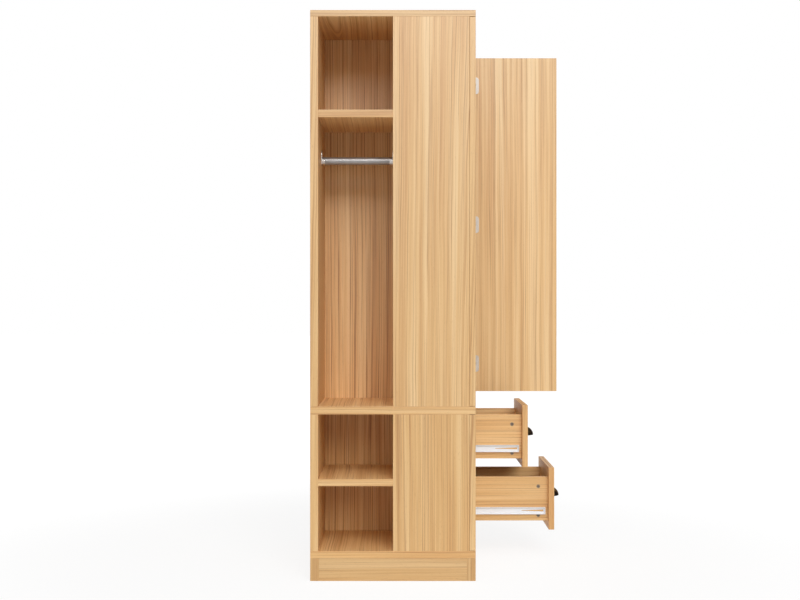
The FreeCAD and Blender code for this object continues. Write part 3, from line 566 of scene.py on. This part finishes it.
@dataclass(frozen=True)
class MouldedFinish(Finish):
    """A pale plastic or a powder coat: fine peel, faint scuffs and a little dust in its tone."""

    base: Colour = screen(250, 250, 248)
    scuff: Colour = screen(226, 225, 221)
    roughness: float = 0.34
    peel_scale: float = 420.0
    peel_strength: float = 0.5
    scuff_scale: float = 55.0
    scuff_band: Span = (0.58, 0.80)
    scuff_weight: float = 0.7
    scuff_roughness: float = 0.2

    def material(self, name: str) -> bpy.types.Material:
        """Make the coat's material.

        Args:
            name: The material's name.

        Returns:
            The material.
        """
        material, graph, shader = self.start(name)
        place = graph.add("ShaderNodeTexCoord").outputs["Object"]
        peel = graph.noise(place, self.peel_scale, detail=2.0)
        scuff = graph.noise(place, self.scuff_scale, detail=5.0, roughness=0.7)
        worn = graph.span(scuff, *self.scuff_band, 0.0, self.scuff_weight)
        graph.feed(shader.inputs["Base Color"], graph.mix(worn, self.base, self.scuff))
        rough = graph.multiply_add(worn, self.scuff_roughness, self.roughness)
        graph.feed(shader.inputs["Roughness"], rough)
        self.emboss(graph, shader, peel, self.peel_strength)
        return material


@dataclass(frozen=True)
class Lie:
    """How a board lies: where its grain runs and which way is through its thickness."""

    grain: Axis
    through: Axis

    def axes(self) -> tuple[int, int, int]:
        """Return the places in a vector of grain, thickness and the third direction."""
        third = 3 - self.grain.value - self.through.value
        return self.grain.value, self.through.value, third


SHELF = Lie(Axis.X, Axis.Z)
UPRIGHT_SIDE = Lie(Axis.Z, Axis.X)
UPRIGHT_WALL = Lie(Axis.Z, Axis.Y)
LYING_SIDE = Lie(Axis.Y, Axis.X)
LYING_WALL = Lie(Axis.X, Axis.Y)
DRAWER_FLOOR = Lie(Axis.Y, Axis.Z)

BOARD_LIES = (
    ("top_panel", SHELF),
    ("divider_panel", SHELF),
    ("bottom_panel", SHELF),
    ("hat_shelf", SHELF),
    ("cubby_shelf", SHELF),
    ("column_shelves", SHELF),
    ("side_panel", UPRIGHT_SIDE),
    ("partition", UPRIGHT_SIDE),
    ("right_door", UPRIGHT_SIDE),
    ("rear_wall", UPRIGHT_WALL),
    ("cross_wall", UPRIGHT_WALL),
    ("back_panels", UPRIGHT_WALL),
    ("left_upper_door", UPRIGHT_WALL),
    ("left_lower_door", UPRIGHT_WALL),
    ("upper_drawer_front", UPRIGHT_WALL),
    ("lower_drawer_front", UPRIGHT_WALL),
    ("upper_drawer_sides", LYING_SIDE),
    ("lower_drawer_sides", LYING_SIDE),
    ("plinth_sides", LYING_SIDE),
    ("plinth_centre_rail", LYING_SIDE),
    ("plinth_front", LYING_WALL),
    ("plinth_rear", LYING_WALL),
    ("upper_drawer_back", LYING_WALL),
    ("lower_drawer_back", LYING_WALL),
    ("upper_drawer_bottom", DRAWER_FLOOR),
    ("lower_drawer_bottom", DRAWER_FLOOR),
    ("dowels", UPRIGHT_SIDE),
)


# Painted light: each board's colour is multiplied by its tint to stand in for how light falls on it: the
# plinth and the top panel darker, the right door, the compartment floors, the hat shelf and the lower
# partition lighter, and the left side panel paler above and deeper below.
BOARD_PAINTED_LIGHT = (
    ("plinth", (0.84, 0.82, 0.80)),
    ("top_panel", (0.96, 0.94, 0.91)),
    ("right_door", (1.06, 1.11, 1.18)),
    ("side_panel_left_upper", (0.97, 0.98, 1.01)),
    ("side_panel_left_lower", (0.93, 0.91, 0.88)),
    ("bottom_panel", (1.14, 1.12, 1.09)),
    ("cubby_shelf", (1.12, 1.12, 1.12)),
    ("divider_panel", (1.12, 1.12, 1.12)),
    ("hat_shelf_left", (1.10, 1.10, 1.10)),
    ("partition_lower", (1.08, 1.08, 1.08)),
)
STRAIGHT_BOARDS = ("partition", "right_door", "side_panel_left_lower")


def lie_of(node: str) -> Lie:
    """Return how the board of a node lies."""
    return next(lie for start, lie in BOARD_LIES if node.startswith(start))


@dataclass(frozen=True)
class Solid:
    """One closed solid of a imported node, or one face of it, read from a copy of its mesh."""

    points: tuple[Vector, ...]
    faces: tuple[tuple[int, ...], ...]

    def corners(self) -> tuple[Vector, Vector]:
        """Return the solid's lowest and highest corner."""
        ways = tuple(zip(*self.points))
        return Vector([min(way) for way in ways]), Vector([max(way) for way in ways])

    def middle(self) -> Vector:
        """Return the middle of the solid's box."""
        low, high = self.corners()
        return (low + high) / 2


@dataclass(frozen=True)
class Seat:
    """Where a round fitting shows: the middle of its face, the way it faces and its radius."""

    place: Vector
    facing: Vector
    radius: float


def solids_of(node: bpy.types.Object, merged: bool = True) -> list[Solid]:
    """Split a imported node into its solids, or into the faces that they were drawn with.

    Args:
        node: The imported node's object, which stays as it is.
        merged: Whether the faces are joined first.

    Returns:
        The solids or faces, in the order of their lowest corner.
    """
    loose = bmesh.new()
    loose.from_mesh(node.data)
    if merged:
        bmesh.ops.remove_doubles(loose, verts=loose.verts, dist=MERGE_REACH)
    solids = []
    left = dict.fromkeys(loose.verts)
    while left:
        members = [left.popitem()[0]]
        for vert in members:
            for edge in vert.link_edges:
                other = edge.other_vert(vert)
                if other in left:
                    del left[other]
                    members.append(other)
        number = {vert: place for place, vert in enumerate(members)}
        faces = dict.fromkeys(face for vert in members for face in vert.link_faces)
        points = tuple(vert.co.copy() for vert in members)
        solids.append(Solid(points, tuple(tuple(number[v] for v in face.verts) for face in faces)))
    loose.free()
    return sorted(solids, key=lambda solid: tuple(round(value, 5) for value in solid.corners()[0]))


def seat_at(solid: Solid, axis: int, at_high: bool, radius: float) -> Seat:
    """Put a seat on one end of a solid.

    Args:
        solid: The solid.
        axis: The direction that the seat faces along.
        at_high: Whether it faces the positive way.
        radius: The fitting's radius.

    Returns:
        The seat.
    """
    low, high = solid.corners()
    place = solid.middle()
    place[axis] = high[axis] if at_high else low[axis]
    facing = Vector((0.0, 0.0, 0.0))
    facing[axis] = 1.0 if at_high else -1.0
    return Seat(place, facing, radius)


def screw_seats(node: bpy.types.Object) -> list[Seat]:
    """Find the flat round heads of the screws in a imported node.

    Args:
        node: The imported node's object.

    Returns:
        A seat for each head.
    """
    seats = []
    for face in solids_of(node, merged=False):
        low, high = face.corners()
        sizes = high - low
        flat = min(range(3), key=lambda i: sizes[i])
        wide, tall = (sizes[i] for i in range(3) if i != flat)
        is_round = sizes[flat] <= FLAT_ENOUGH and abs(wide - tall) <= ROUND_ENOUGH
        if not (is_round and HEAD_RADII[0] < wide / 2 < HEAD_RADII[1]):
            continue
        first, second, third = (face.points[i] for i in face.faces[0][:3])
        outward = (second - first).cross(third - first)[flat] > 0
        seats.append(seat_at(face, flat, outward, wide / 2))
    return seats


@dataclass
class CrossHead:
    """A round face with a cross recess, in units of its own radius.

    Each ring is a radius, a height over the seat and a share of painted shade, from the foot to the recess.
    """

    name: str
    rings: tuple[tuple[float, float, float], ...]
    arm: float = 0.52
    arm_half: float = 0.13
    pocket: float = -0.30
    pocket_share: float = 0.86
    segments: int = 24

    def cross(self) -> list[tuple[float, float]]:
        """Draw the recess's outline, counter-clockwise.

        Returns:
            Its twelve corners.
        """
        long, half = self.arm, self.arm_half
        quarter = ((long, -half), (long, half), (half, half))
        outline = []
        for turn in range(4):
            spin = Matrix.Rotation(turn * math.pi / 2, 2)
            outline += [tuple(spin @ Vector(corner)) for corner in quarter]
        return outline

    def build(self) -> bpy.types.Object:
        """Make the head as an object that a scatter tree can repeat.

        Returns:
            The template, which is in no collection.
        """
        shape = bmesh.new()
        # The recess layer holds painted shade: 0 on the head's face, up to 1 in the cross recess.
        shade = shape.verts.layers.float.new("recess")
        loops = []
        for radius, height, tone in self.rings:
            loop = []
            for step in range(self.segments):
                angle = 2 * math.pi * step / self.segments
                vert = shape.verts.new((radius * math.cos(angle), radius * math.sin(angle), height))
                vert[shade] = tone
                loop.append(vert)
            loops.append(loop)
        for lower, upper in zip(loops, loops[1:]):
            self.wall(shape, lower, upper)
        shape.faces.new(tuple(reversed(loops[0])))
        rim_height = self.rings[-1][1]
        mouth = [shape.verts.new((x, y, rim_height)) for x, y in self.cross()]
        narrow = self.pocket_share
        floor = [shape.verts.new((x * narrow, y * narrow, self.pocket)) for x, y in self.cross()]
        for vert in mouth + floor:
            vert[shade] = 1.0
        self.wall(shape, mouth, floor)
        edges = [self.edge(shape, loop, i) for loop in (loops[-1], mouth) for i in range(len(loop))]
        bmesh.ops.triangle_fill(shape, edges=edges, use_beauty=True)
        bmesh.ops.triangle_fill(shape, edges=[self.edge(shape, floor, i) for i in range(len(floor))])
        bmesh.ops.recalc_face_normals(shape, faces=shape.faces)
        mesh = bpy.data.meshes.new(self.name)
        shape.to_mesh(mesh)
        shape.free()
        return bpy.data.objects.new(self.name, mesh)

    def wall(self, shape: bmesh.types.BMesh, lower: list, upper: list) -> None:
        """Join two loops of the same length with faces."""
        for i, vert in enumerate(lower):
            after = (i + 1) % len(lower)
            shape.faces.new((vert, lower[after], upper[after], upper[i]))

    def edge(self, shape: bmesh.types.BMesh, loop: list, i: int) -> bmesh.types.BMEdge:
        """Return the edge of a loop that starts at a corner, and make it where it isn't there yet."""
        pair = (loop[i], loop[(i + 1) % len(loop)])
        return shape.edges.get(pair) or shape.edges.new(pair)


SCREW_HEAD = CrossHead(
    "raised_head",
    ((0.97, -0.20, 0.0), (0.97, 0.02, 0.0), (0.86, 0.10, 0.0), (0.62, 0.155, 0.0)),
    pocket=-0.12,
)
# The cam's inner rings carry painted shade, like the cross recess.
CAM_FACE = CrossHead(
    "cam_face",
    (
        (0.99, -1.69, 0.0), (0.99, -0.06, 0.0), (0.94, -0.01, 0.0),
        (0.80, -0.01, 0.1), (0.77, -0.10, 0.8), (0.66, -0.10, 0.7),
    ),
    arm=0.56, arm_half=0.15, pocket=-0.42,
)


@dataclass
class Scatter:
    """A geometry node tree that sets a fitting on every point, facing the way the point says."""

    seed: int = 7
    tree: bpy.types.NodeTree = field(init=False)
    sockets: dict[str, str] = field(init=False, default_factory=dict)

    def __post_init__(self) -> None:
        """Build the tree."""
        self.tree = bpy.data.node_groups.new("set_fittings", "GeometryNodeTree")
        kinds = {"Geometry": "Geometry", "Fitting": "Object", "Finish": "Material"}
        kinds |= {"Size": "Float", "Seed": "Int"}
        for name, kind in kinds.items():
            item = self.tree.interface.new_socket(name, in_out="INPUT", socket_type="NodeSocket" + kind)
            self.sockets[name] = item.identifier
        self.tree.interface.new_socket("Geometry", in_out="OUTPUT", socket_type="NodeSocketGeometry")
        graph = Graph(self.tree)
        entry = graph.add("NodeGroupInput").outputs
        fitting = graph.add("GeometryNodeObjectInfo", {"Object": entry["Fitting"]}).outputs["Geometry"]
        facing, girth = (
            graph.add("GeometryNodeInputNamedAttribute", {"Name": name}, data_type=kind).outputs[0]
            for name, kind in (("facing", "FLOAT_VECTOR"), ("girth", "FLOAT"))
        )
        upright = graph.add("FunctionNodeAlignRotationToVector", {"Vector": facing}, axis="Z").outputs[0]
        turn = graph.add("FunctionNodeRandomValue", {"Seed": entry["Seed"]}, data_type="FLOAT").outputs[1]
        spin = graph.vector(0.0, 0.0, graph.math("MULTIPLY", turn, math.pi / 2))
        twist = graph.add("FunctionNodeEulerToRotation", {0: spin}).outputs[0]
        turns = {0: upright, 1: twist}
        turned = graph.add("FunctionNodeRotateRotation", turns, rotation_space="LOCAL").outputs[0]
        size = graph.math("MULTIPLY", girth, entry["Size"])
        inputs = {"Points": entry["Geometry"], "Instance": fitting, "Rotation": turned, "Scale": size}
        placed = graph.add("GeometryNodeInstanceOnPoints", inputs).outputs[0]
        real = graph.add("GeometryNodeRealizeInstances", {0: placed}).outputs[0]
        dressed = {"Geometry": real, "Material": entry["Finish"]}
        graph.add("NodeGroupOutput", {0: graph.add("GeometryNodeSetMaterial", dressed).outputs[0]})

    def mesh(
        self, name: str, seats: Sequence[Seat], fitting: bpy.types.Object, finish: bpy.types.Material
    ) -> bpy.types.Mesh:
        """Set a fitting on seats.

        Args:
            name: The mesh's name.
            seats: Where the fittings go.
            fitting: The template, in units of its radius.
            finish: The fittings' material.

        Returns:
            A plain mesh with every fitting in place.
        """
        marks = bpy.data.meshes.new(name + "_marks")
        marks.from_pydata([seat.place for seat in seats], [], [])
        facing = marks.attributes.new("facing", "FLOAT_VECTOR", "POINT")
        facing.data.foreach_set("vector", [value for seat in seats for value in seat.facing])
        girth = marks.attributes.new("girth", "FLOAT", "POINT")
        girth.data.foreach_set("value", [seat.radius for seat in seats])
        holder = bpy.data.objects.new(name + "_marks", marks)
        bpy.context.scene.collection.objects.link(holder)
        modifier = holder.modifiers.new("fittings", "NODES")
        modifier.node_group = self.tree
        settings = {"Fitting": fitting, "Finish": finish, "Size": 1.0, "Seed": self.seed}
        for key, value in settings.items():
            modifier[self.sockets[key]] = value
        graph = bpy.context.evaluated_depsgraph_get()
        made = bpy.data.meshes.new_from_object(holder.evaluated_get(graph), depsgraph=graph)
        made.name = name
        holder.modifiers.remove(modifier)
        bpy.data.objects.remove(holder)
        bpy.data.meshes.remove(marks)
        return made


@dataclass
class Fastenings:
    """The screw heads and cams that show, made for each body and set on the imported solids."""

    nodes: dict[str, bpy.types.Object]
    finishes: dict[str, bpy.types.Material]
    scatter: Scatter = field(default_factory=Scatter)
    screw_bodies: tuple[tuple[str, str, str], ...] = (
        ("right_door_hinge_cups", "right_door", "hinge_nickel"),
        ("left_upper_door_hinge_cups", "left_upper_door", "hinge_nickel"),
        ("left_lower_door_hinge_cups", "left_lower_door", "hinge_nickel"),
        ("hinge_plates", "case", "hinge_nickel"),
        ("rail_brackets", "case", "bracket_steel"),
    )
    cam_bodies: tuple[tuple[str, str], ...] = (
        ("cam_locks", "case"),
        ("upper_drawer_fasteners", "upper_drawer"),
        ("lower_drawer_fasteners", "lower_drawer"),
    )
    arm_screws: tuple[float, ...] = (0.30, 0.78)
    arm_screw_radius: float = 3.2 * MM
    longest_cam: float = 16 * MM
    thinnest_cam: float = 9 * MM

    def add_piece(self, name: str, mesh: bpy.types.Mesh, body: str) -> bpy.types.Object:
        """Link a finished mesh as a piece that rides on a body.

        Args:
            name: The piece's name.
            mesh: Its mesh.
            body: The body it rides on.

        Returns:
            The piece.
        """
        piece = bpy.data.objects.new(name, mesh)
        bpy.context.scene.collection.objects.link(piece)
        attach(piece, body)
        if not mesh.polygons:
            raise ValueError(f"{name} is empty")
        LOG.info("made %s with %d faces on %s", name, len(mesh.polygons), body)
        return piece

    def build(self) -> None:
        """Make every fastening."""
        head, cam = SCREW_HEAD.build(), CAM_FACE.build()
        for node, body, slot in self.screw_bodies:
            seats = screw_seats(self.nodes[node])
            name = node + "_screw_heads"
            self.add_piece(name, self.scatter.mesh(name, seats, head, self.finishes[slot]), body)
        arms = self.arm_seats()
        mesh = self.scatter.mesh("hinge_arm_screws", arms, head, self.finishes["hinge_nickel"])
        self.add_piece("hinge_arm_screws", mesh, "case")
        for node, body in self.cam_bodies:
            self.build_cams(node, body, head, cam)
        for template in (head, cam):
            mesh = template.data
            bpy.data.objects.remove(template)
            bpy.data.meshes.remove(mesh)

    def arm_seats(self) -> list[Seat]:
        """Find where the two adjusting screws sit on each hinge arm.

        Returns:
            A seat for each screw.
        """
        seats = []
        for arm in solids_of(self.nodes["hinge_arms"]):
            low, high = arm.corners()
            inner_is_low = arm.middle().x > 0
            for share in self.arm_screws:
                y = low.y + (high.y - low.y) * share
                place = Vector((low.x if inner_is_low else high.x, y, arm.middle().z))
                facing = Vector((-1.0 if inner_is_low else 1.0, 0.0, 0.0))
                seats.append(Seat(place, facing, self.arm_screw_radius))
        return seats

    def build_cams(self, node: str, body: str, head: bpy.types.Object, cam: bpy.types.Object) -> None:
        """Make the cams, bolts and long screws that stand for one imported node.

        Args:
            node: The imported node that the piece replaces.
            body: The body that it rides on.
            head: The screw head's template.
            cam: The cam's template.
        """
        finish = self.finishes["cam_zinc"]
        cams, others = [], []
        for solid in solids_of(self.nodes[node]):
            low, high = solid.corners()
            stout = max(high - low) < self.longest_cam and min(high - low) > self.thinnest_cam
            (cams if stout else others).append(solid)
        seats = [self.cam_seat(solid, others) for solid in cams]
        name = node.replace("_fasteners", "_cams").replace("cam_locks", "case_cams")
        shape = bmesh.new()
        for fitting, places in ((cam, seats), (head, screw_seats(self.nodes[node]))):
            if places:
                fitted = self.scatter.mesh(name + "_fittings", places, fitting, finish)
                shape.from_mesh(fitted)
                bpy.data.meshes.remove(fitted)
        for solid in others:
            verts = [shape.verts.new(point) for point in solid.points]
            for face in solid.faces:
                shape.faces.new([verts[i] for i in face])
        mesh = bpy.data.meshes.new(name)
        shape.to_mesh(mesh)
        shape.free()
        mesh.materials.append(finish)
        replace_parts(self.add_piece(name, mesh, body), node)

    def cam_seat(self, cam: Solid, bolts: Sequence[Solid]) -> Seat:
        """Put a seat on the end of a cam that lies farther from its bolt.

        Args:
            cam: The cam's solid.
            bolts: The solids that can be its bolt.

        Returns:
            The seat.
        """
        middle = cam.middle()
        bolt = min(bolts, key=lambda solid: (solid.middle() - middle).length)
        low, high = cam.corners()
        axis = min(range(3), key=lambda i: (high - low)[i])
        at_high = abs(high[axis] - bolt.middle()[axis]) > abs(low[axis] - bolt.middle()[axis])
        return seat_at(cam, axis, at_high, (high - low)[(axis + 1) % 3] / 2)


@dataclass
class Wardrobe:
    """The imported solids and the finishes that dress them."""

    frame: dict
    board: BoardFinish = field(default_factory=BoardFinish)
    thin_board: BoardFinish = field(
        default_factory=lambda: BoardFinish(cream=screen(230, 198, 156), honey=screen(212, 170, 122))
    )
    fittings: dict[str, Finish] = field(
        default_factory=lambda: {
            "hinge_nickel": MetalFinish(
                light=screen(221, 215, 206), dark=screen(188, 181, 172), roughness=0.58, metallic=0.15
            ),
            "slide_steel": MouldedFinish(base=screen(240, 243, 247), scuff=screen(214, 218, 222)),
            "roller_nylon": MouldedFinish(base=screen(226, 224, 214), roughness=0.45),
            "rail_steel": MetalFinish(
                light=screen(176, 175, 174), dark=screen(140, 139, 139), roughness=0.40,
                mark_scale=(60, 4, 2600), metallic=0.4,
            ),
            "bracket_steel": MetalFinish(
                light=screen(222, 221, 218), dark=screen(194, 192, 188), roughness=0.32
            ),
            "pin_steel": MetalFinish(roughness=0.24),
            "cam_zinc": MetalFinish(light=screen(178, 160, 140), dark=screen(136, 118, 100), roughness=0.45),
            "dark_bronze": BronzeFinish(),
        }
    )
    finishes: dict[str, bpy.types.Material] = field(default_factory=dict)

    def dress(self) -> None:
        """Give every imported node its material."""
        figures = {"oak_board": self.board.figure(), "thin_board": self.thin_board.figure()}
        figures["beech"] = figures["thin_board"]
        for slot, finish in self.fittings.items():
            self.finishes[slot] = finish.material(slot)
        for subpart in self.frame["record"]["subparts"]:
            node, slot = subpart["node"], subpart["material_slot"]
            if slot in figures:
                finish = self.board if slot == "oak_board" else self.thin_board
                material = finish.board(node, figures[slot], lie_of(node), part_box(node))
            else:
                material = self.finishes[slot]
            mesh = self.frame["nodes"][node].data
            mesh.materials.clear()
            mesh.materials.append(material)
            LOG.info("dressed %s in %s", node, slot)


@dataclass(frozen=True)
class Studio:
    """The floor, the lamps, the surroundings and the camera."""

    lens: float = 58.5
    sensor: float = 36.0
    camera_place: tuple[float, float, float] = (-4.456, -0.0223, 0.878)
    shift_up: float = 0.0031
    floor_size: float = 60.0
    floor_tone: Colour = screen(240, 240, 240)
    floor_roughness: float = 0.9
    floor_shine: float = 1.06
    floor_share: float = 0.80
    fade_reach: tuple[float, float] = (0.9, 2.6)
    ambient: float = 0.26
    key_strength: float = 1.38
    key_spread: float = math.radians(34)
    key_place: tuple[float, float, float] = (-9.3, -1.9, 6.2)
    key_aim: tuple[float, float, float] = (-0.36, 0.0, 1.0)
    overhead_strength: float = 0.56
    overhead_spread: float = math.radians(55)
    overhead_place: tuple[float, float, float] = (-5.4, -0.6, 9.6)
    sheen_watts: float = 330.0
    sheen_size: float = 2.6
    sheen_place: tuple[float, float, float] = (-3.4, -0.4, 3.9)
    floor_glow: float = 0.24
    fill_watts: float = 26.0
    fill_size: float = 3.0
    fill_place: tuple[float, float, float] = (-0.5, -5.0, 2.2)
    fill_aim: tuple[float, float, float] = (0.0, 0.0, 0.9)

    def set_camera(self) -> None:
        """Put the camera level, square to the left side of the case."""
        data = bpy.data.cameras.new("camera")
        data.lens = self.lens
        data.sensor_width = self.sensor
        data.shift_y = self.shift_up
        camera = bpy.data.objects.new("camera", data)
        camera.location = self.camera_place
        camera.rotation_euler = (math.pi / 2, 0.0, -math.pi / 2)
        bpy.context.scene.collection.objects.link(camera)
        bpy.context.scene.camera = camera

    def lay_floor(self) -> None:
        """Lay a pale floor that shows as white round the object and keeps its shadow."""
        mesh = bpy.data.meshes.new("floor")
        half = self.floor_size / 2
        corners = [(-half, -half, 0), (half, -half, 0), (half, half, 0), (-half, half, 0)]
        mesh.from_pydata(corners, [], [(0, 1, 2, 3)])
        floor = bpy.data.objects.new("floor", mesh)
        bpy.context.scene.collection.objects.link(floor)
        material = bpy.data.materials.new("pale_floor")
        material.use_nodes = True
        graph = Graph(material.node_tree)
        shader = material.node_tree.nodes["Principled BSDF"]
        shader.inputs["Base Color"].default_value = self.floor_tone
        shader.inputs["Roughness"].default_value = self.floor_roughness
        shine = graph.add("ShaderNodeEmission", {"Color": WHITE, "Strength": self.floor_shine})
        place = graph.add("ShaderNodeTexCoord").outputs["Object"]
        away = graph.add("ShaderNodeVectorMath", {0: place}, operation="LENGTH").outputs["Value"]
        fade = graph.span(away, *self.fade_reach, self.floor_share, 1.0)
        share = graph.math("MAXIMUM", graph.math("MULTIPLY", self.seen_rays(graph), fade), self.floor_glow)
        both = graph.add("ShaderNodeMixShader", {0: share, 1: shader.outputs[0], 2: shine.outputs[0]})
        graph.feed(material.node_tree.nodes["Material Output"].inputs["Surface"], both.outputs[0])
        mesh.materials.append(material)

    def seen_rays(self, graph: Graph) -> Socket:
        """Tell rays from the camera, off gloss and through glass from the rest.

        Args:
            graph: The tree to read them in.

        Returns:
            1 for these rays and 0 for the rest.
        """
        path = graph.add("ShaderNodeLightPath").outputs
        seen = graph.math("MAXIMUM", path["Is Camera Ray"], path["Is Glossy Ray"])
        return graph.math("MAXIMUM", seen, path["Is Transmission Ray"])

    def light_surroundings(self) -> None:
        """Make the surroundings white to the eye and softer as light."""
        world = bpy.data.worlds.new("surroundings")
        world.use_nodes = True
        bpy.context.scene.world = world
        graph = Graph(world.node_tree)
        strength = graph.span(self.seen_rays(graph), 0.0, 1.0, self.ambient, 1.0)
        background = world.node_tree.nodes["Background"]
        background.inputs["Color"].default_value = WHITE
        graph.feed(background.inputs["Strength"], strength)

    def add_lamp(
        self, name: str, kind: str, power: float, size: float, place: Iterable[float], aim: Iterable[float]
    ) -> bpy.types.Object:
        """Add a soft lamp.

        Args:
            name: The lamp's name.
            kind: AREA for a square panel, or SUN for even light from far away.
            power: Watts of a panel, or strength of a sun.
            size: A panel's side, or a sun's spread.
            place: Where it stands.
            aim: The point it faces.

        Returns:
            The lamp.
        """
        data = bpy.data.lights.new(name, kind)
        data.energy = power
        setattr(data, "angle" if kind == "SUN" else "size", size)
        lamp = bpy.data.objects.new(name, data)
        lamp.location = place
        lamp.rotation_euler = (Vector(aim) - Vector(place)).to_track_quat("-Z", "Y").to_euler()
        bpy.context.scene.collection.objects.link(lamp)
        return lamp

    def build(self) -> None:
        """Set up camera, floor, surroundings and lamps."""
        self.set_camera()
        self.lay_floor()
        self.light_surroundings()
        suns = (
            ("key", self.key_strength, self.key_spread, self.key_place),
            ("overhead", self.overhead_strength, self.overhead_spread, self.overhead_place),
        )
        for name, strength, spread, place in suns:
            self.add_lamp(name, "SUN", strength, spread, place, self.key_aim).visible_glossy = False
        panels = (
            ("sheen", self.sheen_watts, self.sheen_size, self.sheen_place, self.key_aim, False),
            ("front_fill", self.fill_watts, self.fill_size, self.fill_place, self.fill_aim, True),
        )
        for name, watts, size, place, aim, lights_surfaces in panels:
            self.add_lamp(name, "AREA", watts, size, place, aim).visible_diffuse = lights_surfaces
        bpy.context.scene.view_settings.view_transform = "Standard"


def main() -> None:
    """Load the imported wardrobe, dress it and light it."""
    logging.basicConfig(level=logging.INFO, format="%(name)s: %(message)s")
    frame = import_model()
    Studio().build()
    wardrobe = Wardrobe(frame)
    wardrobe.dress()
    Fastenings(frame["nodes"], wardrobe.finishes).build()


if __name__ == "__main__":
    main()
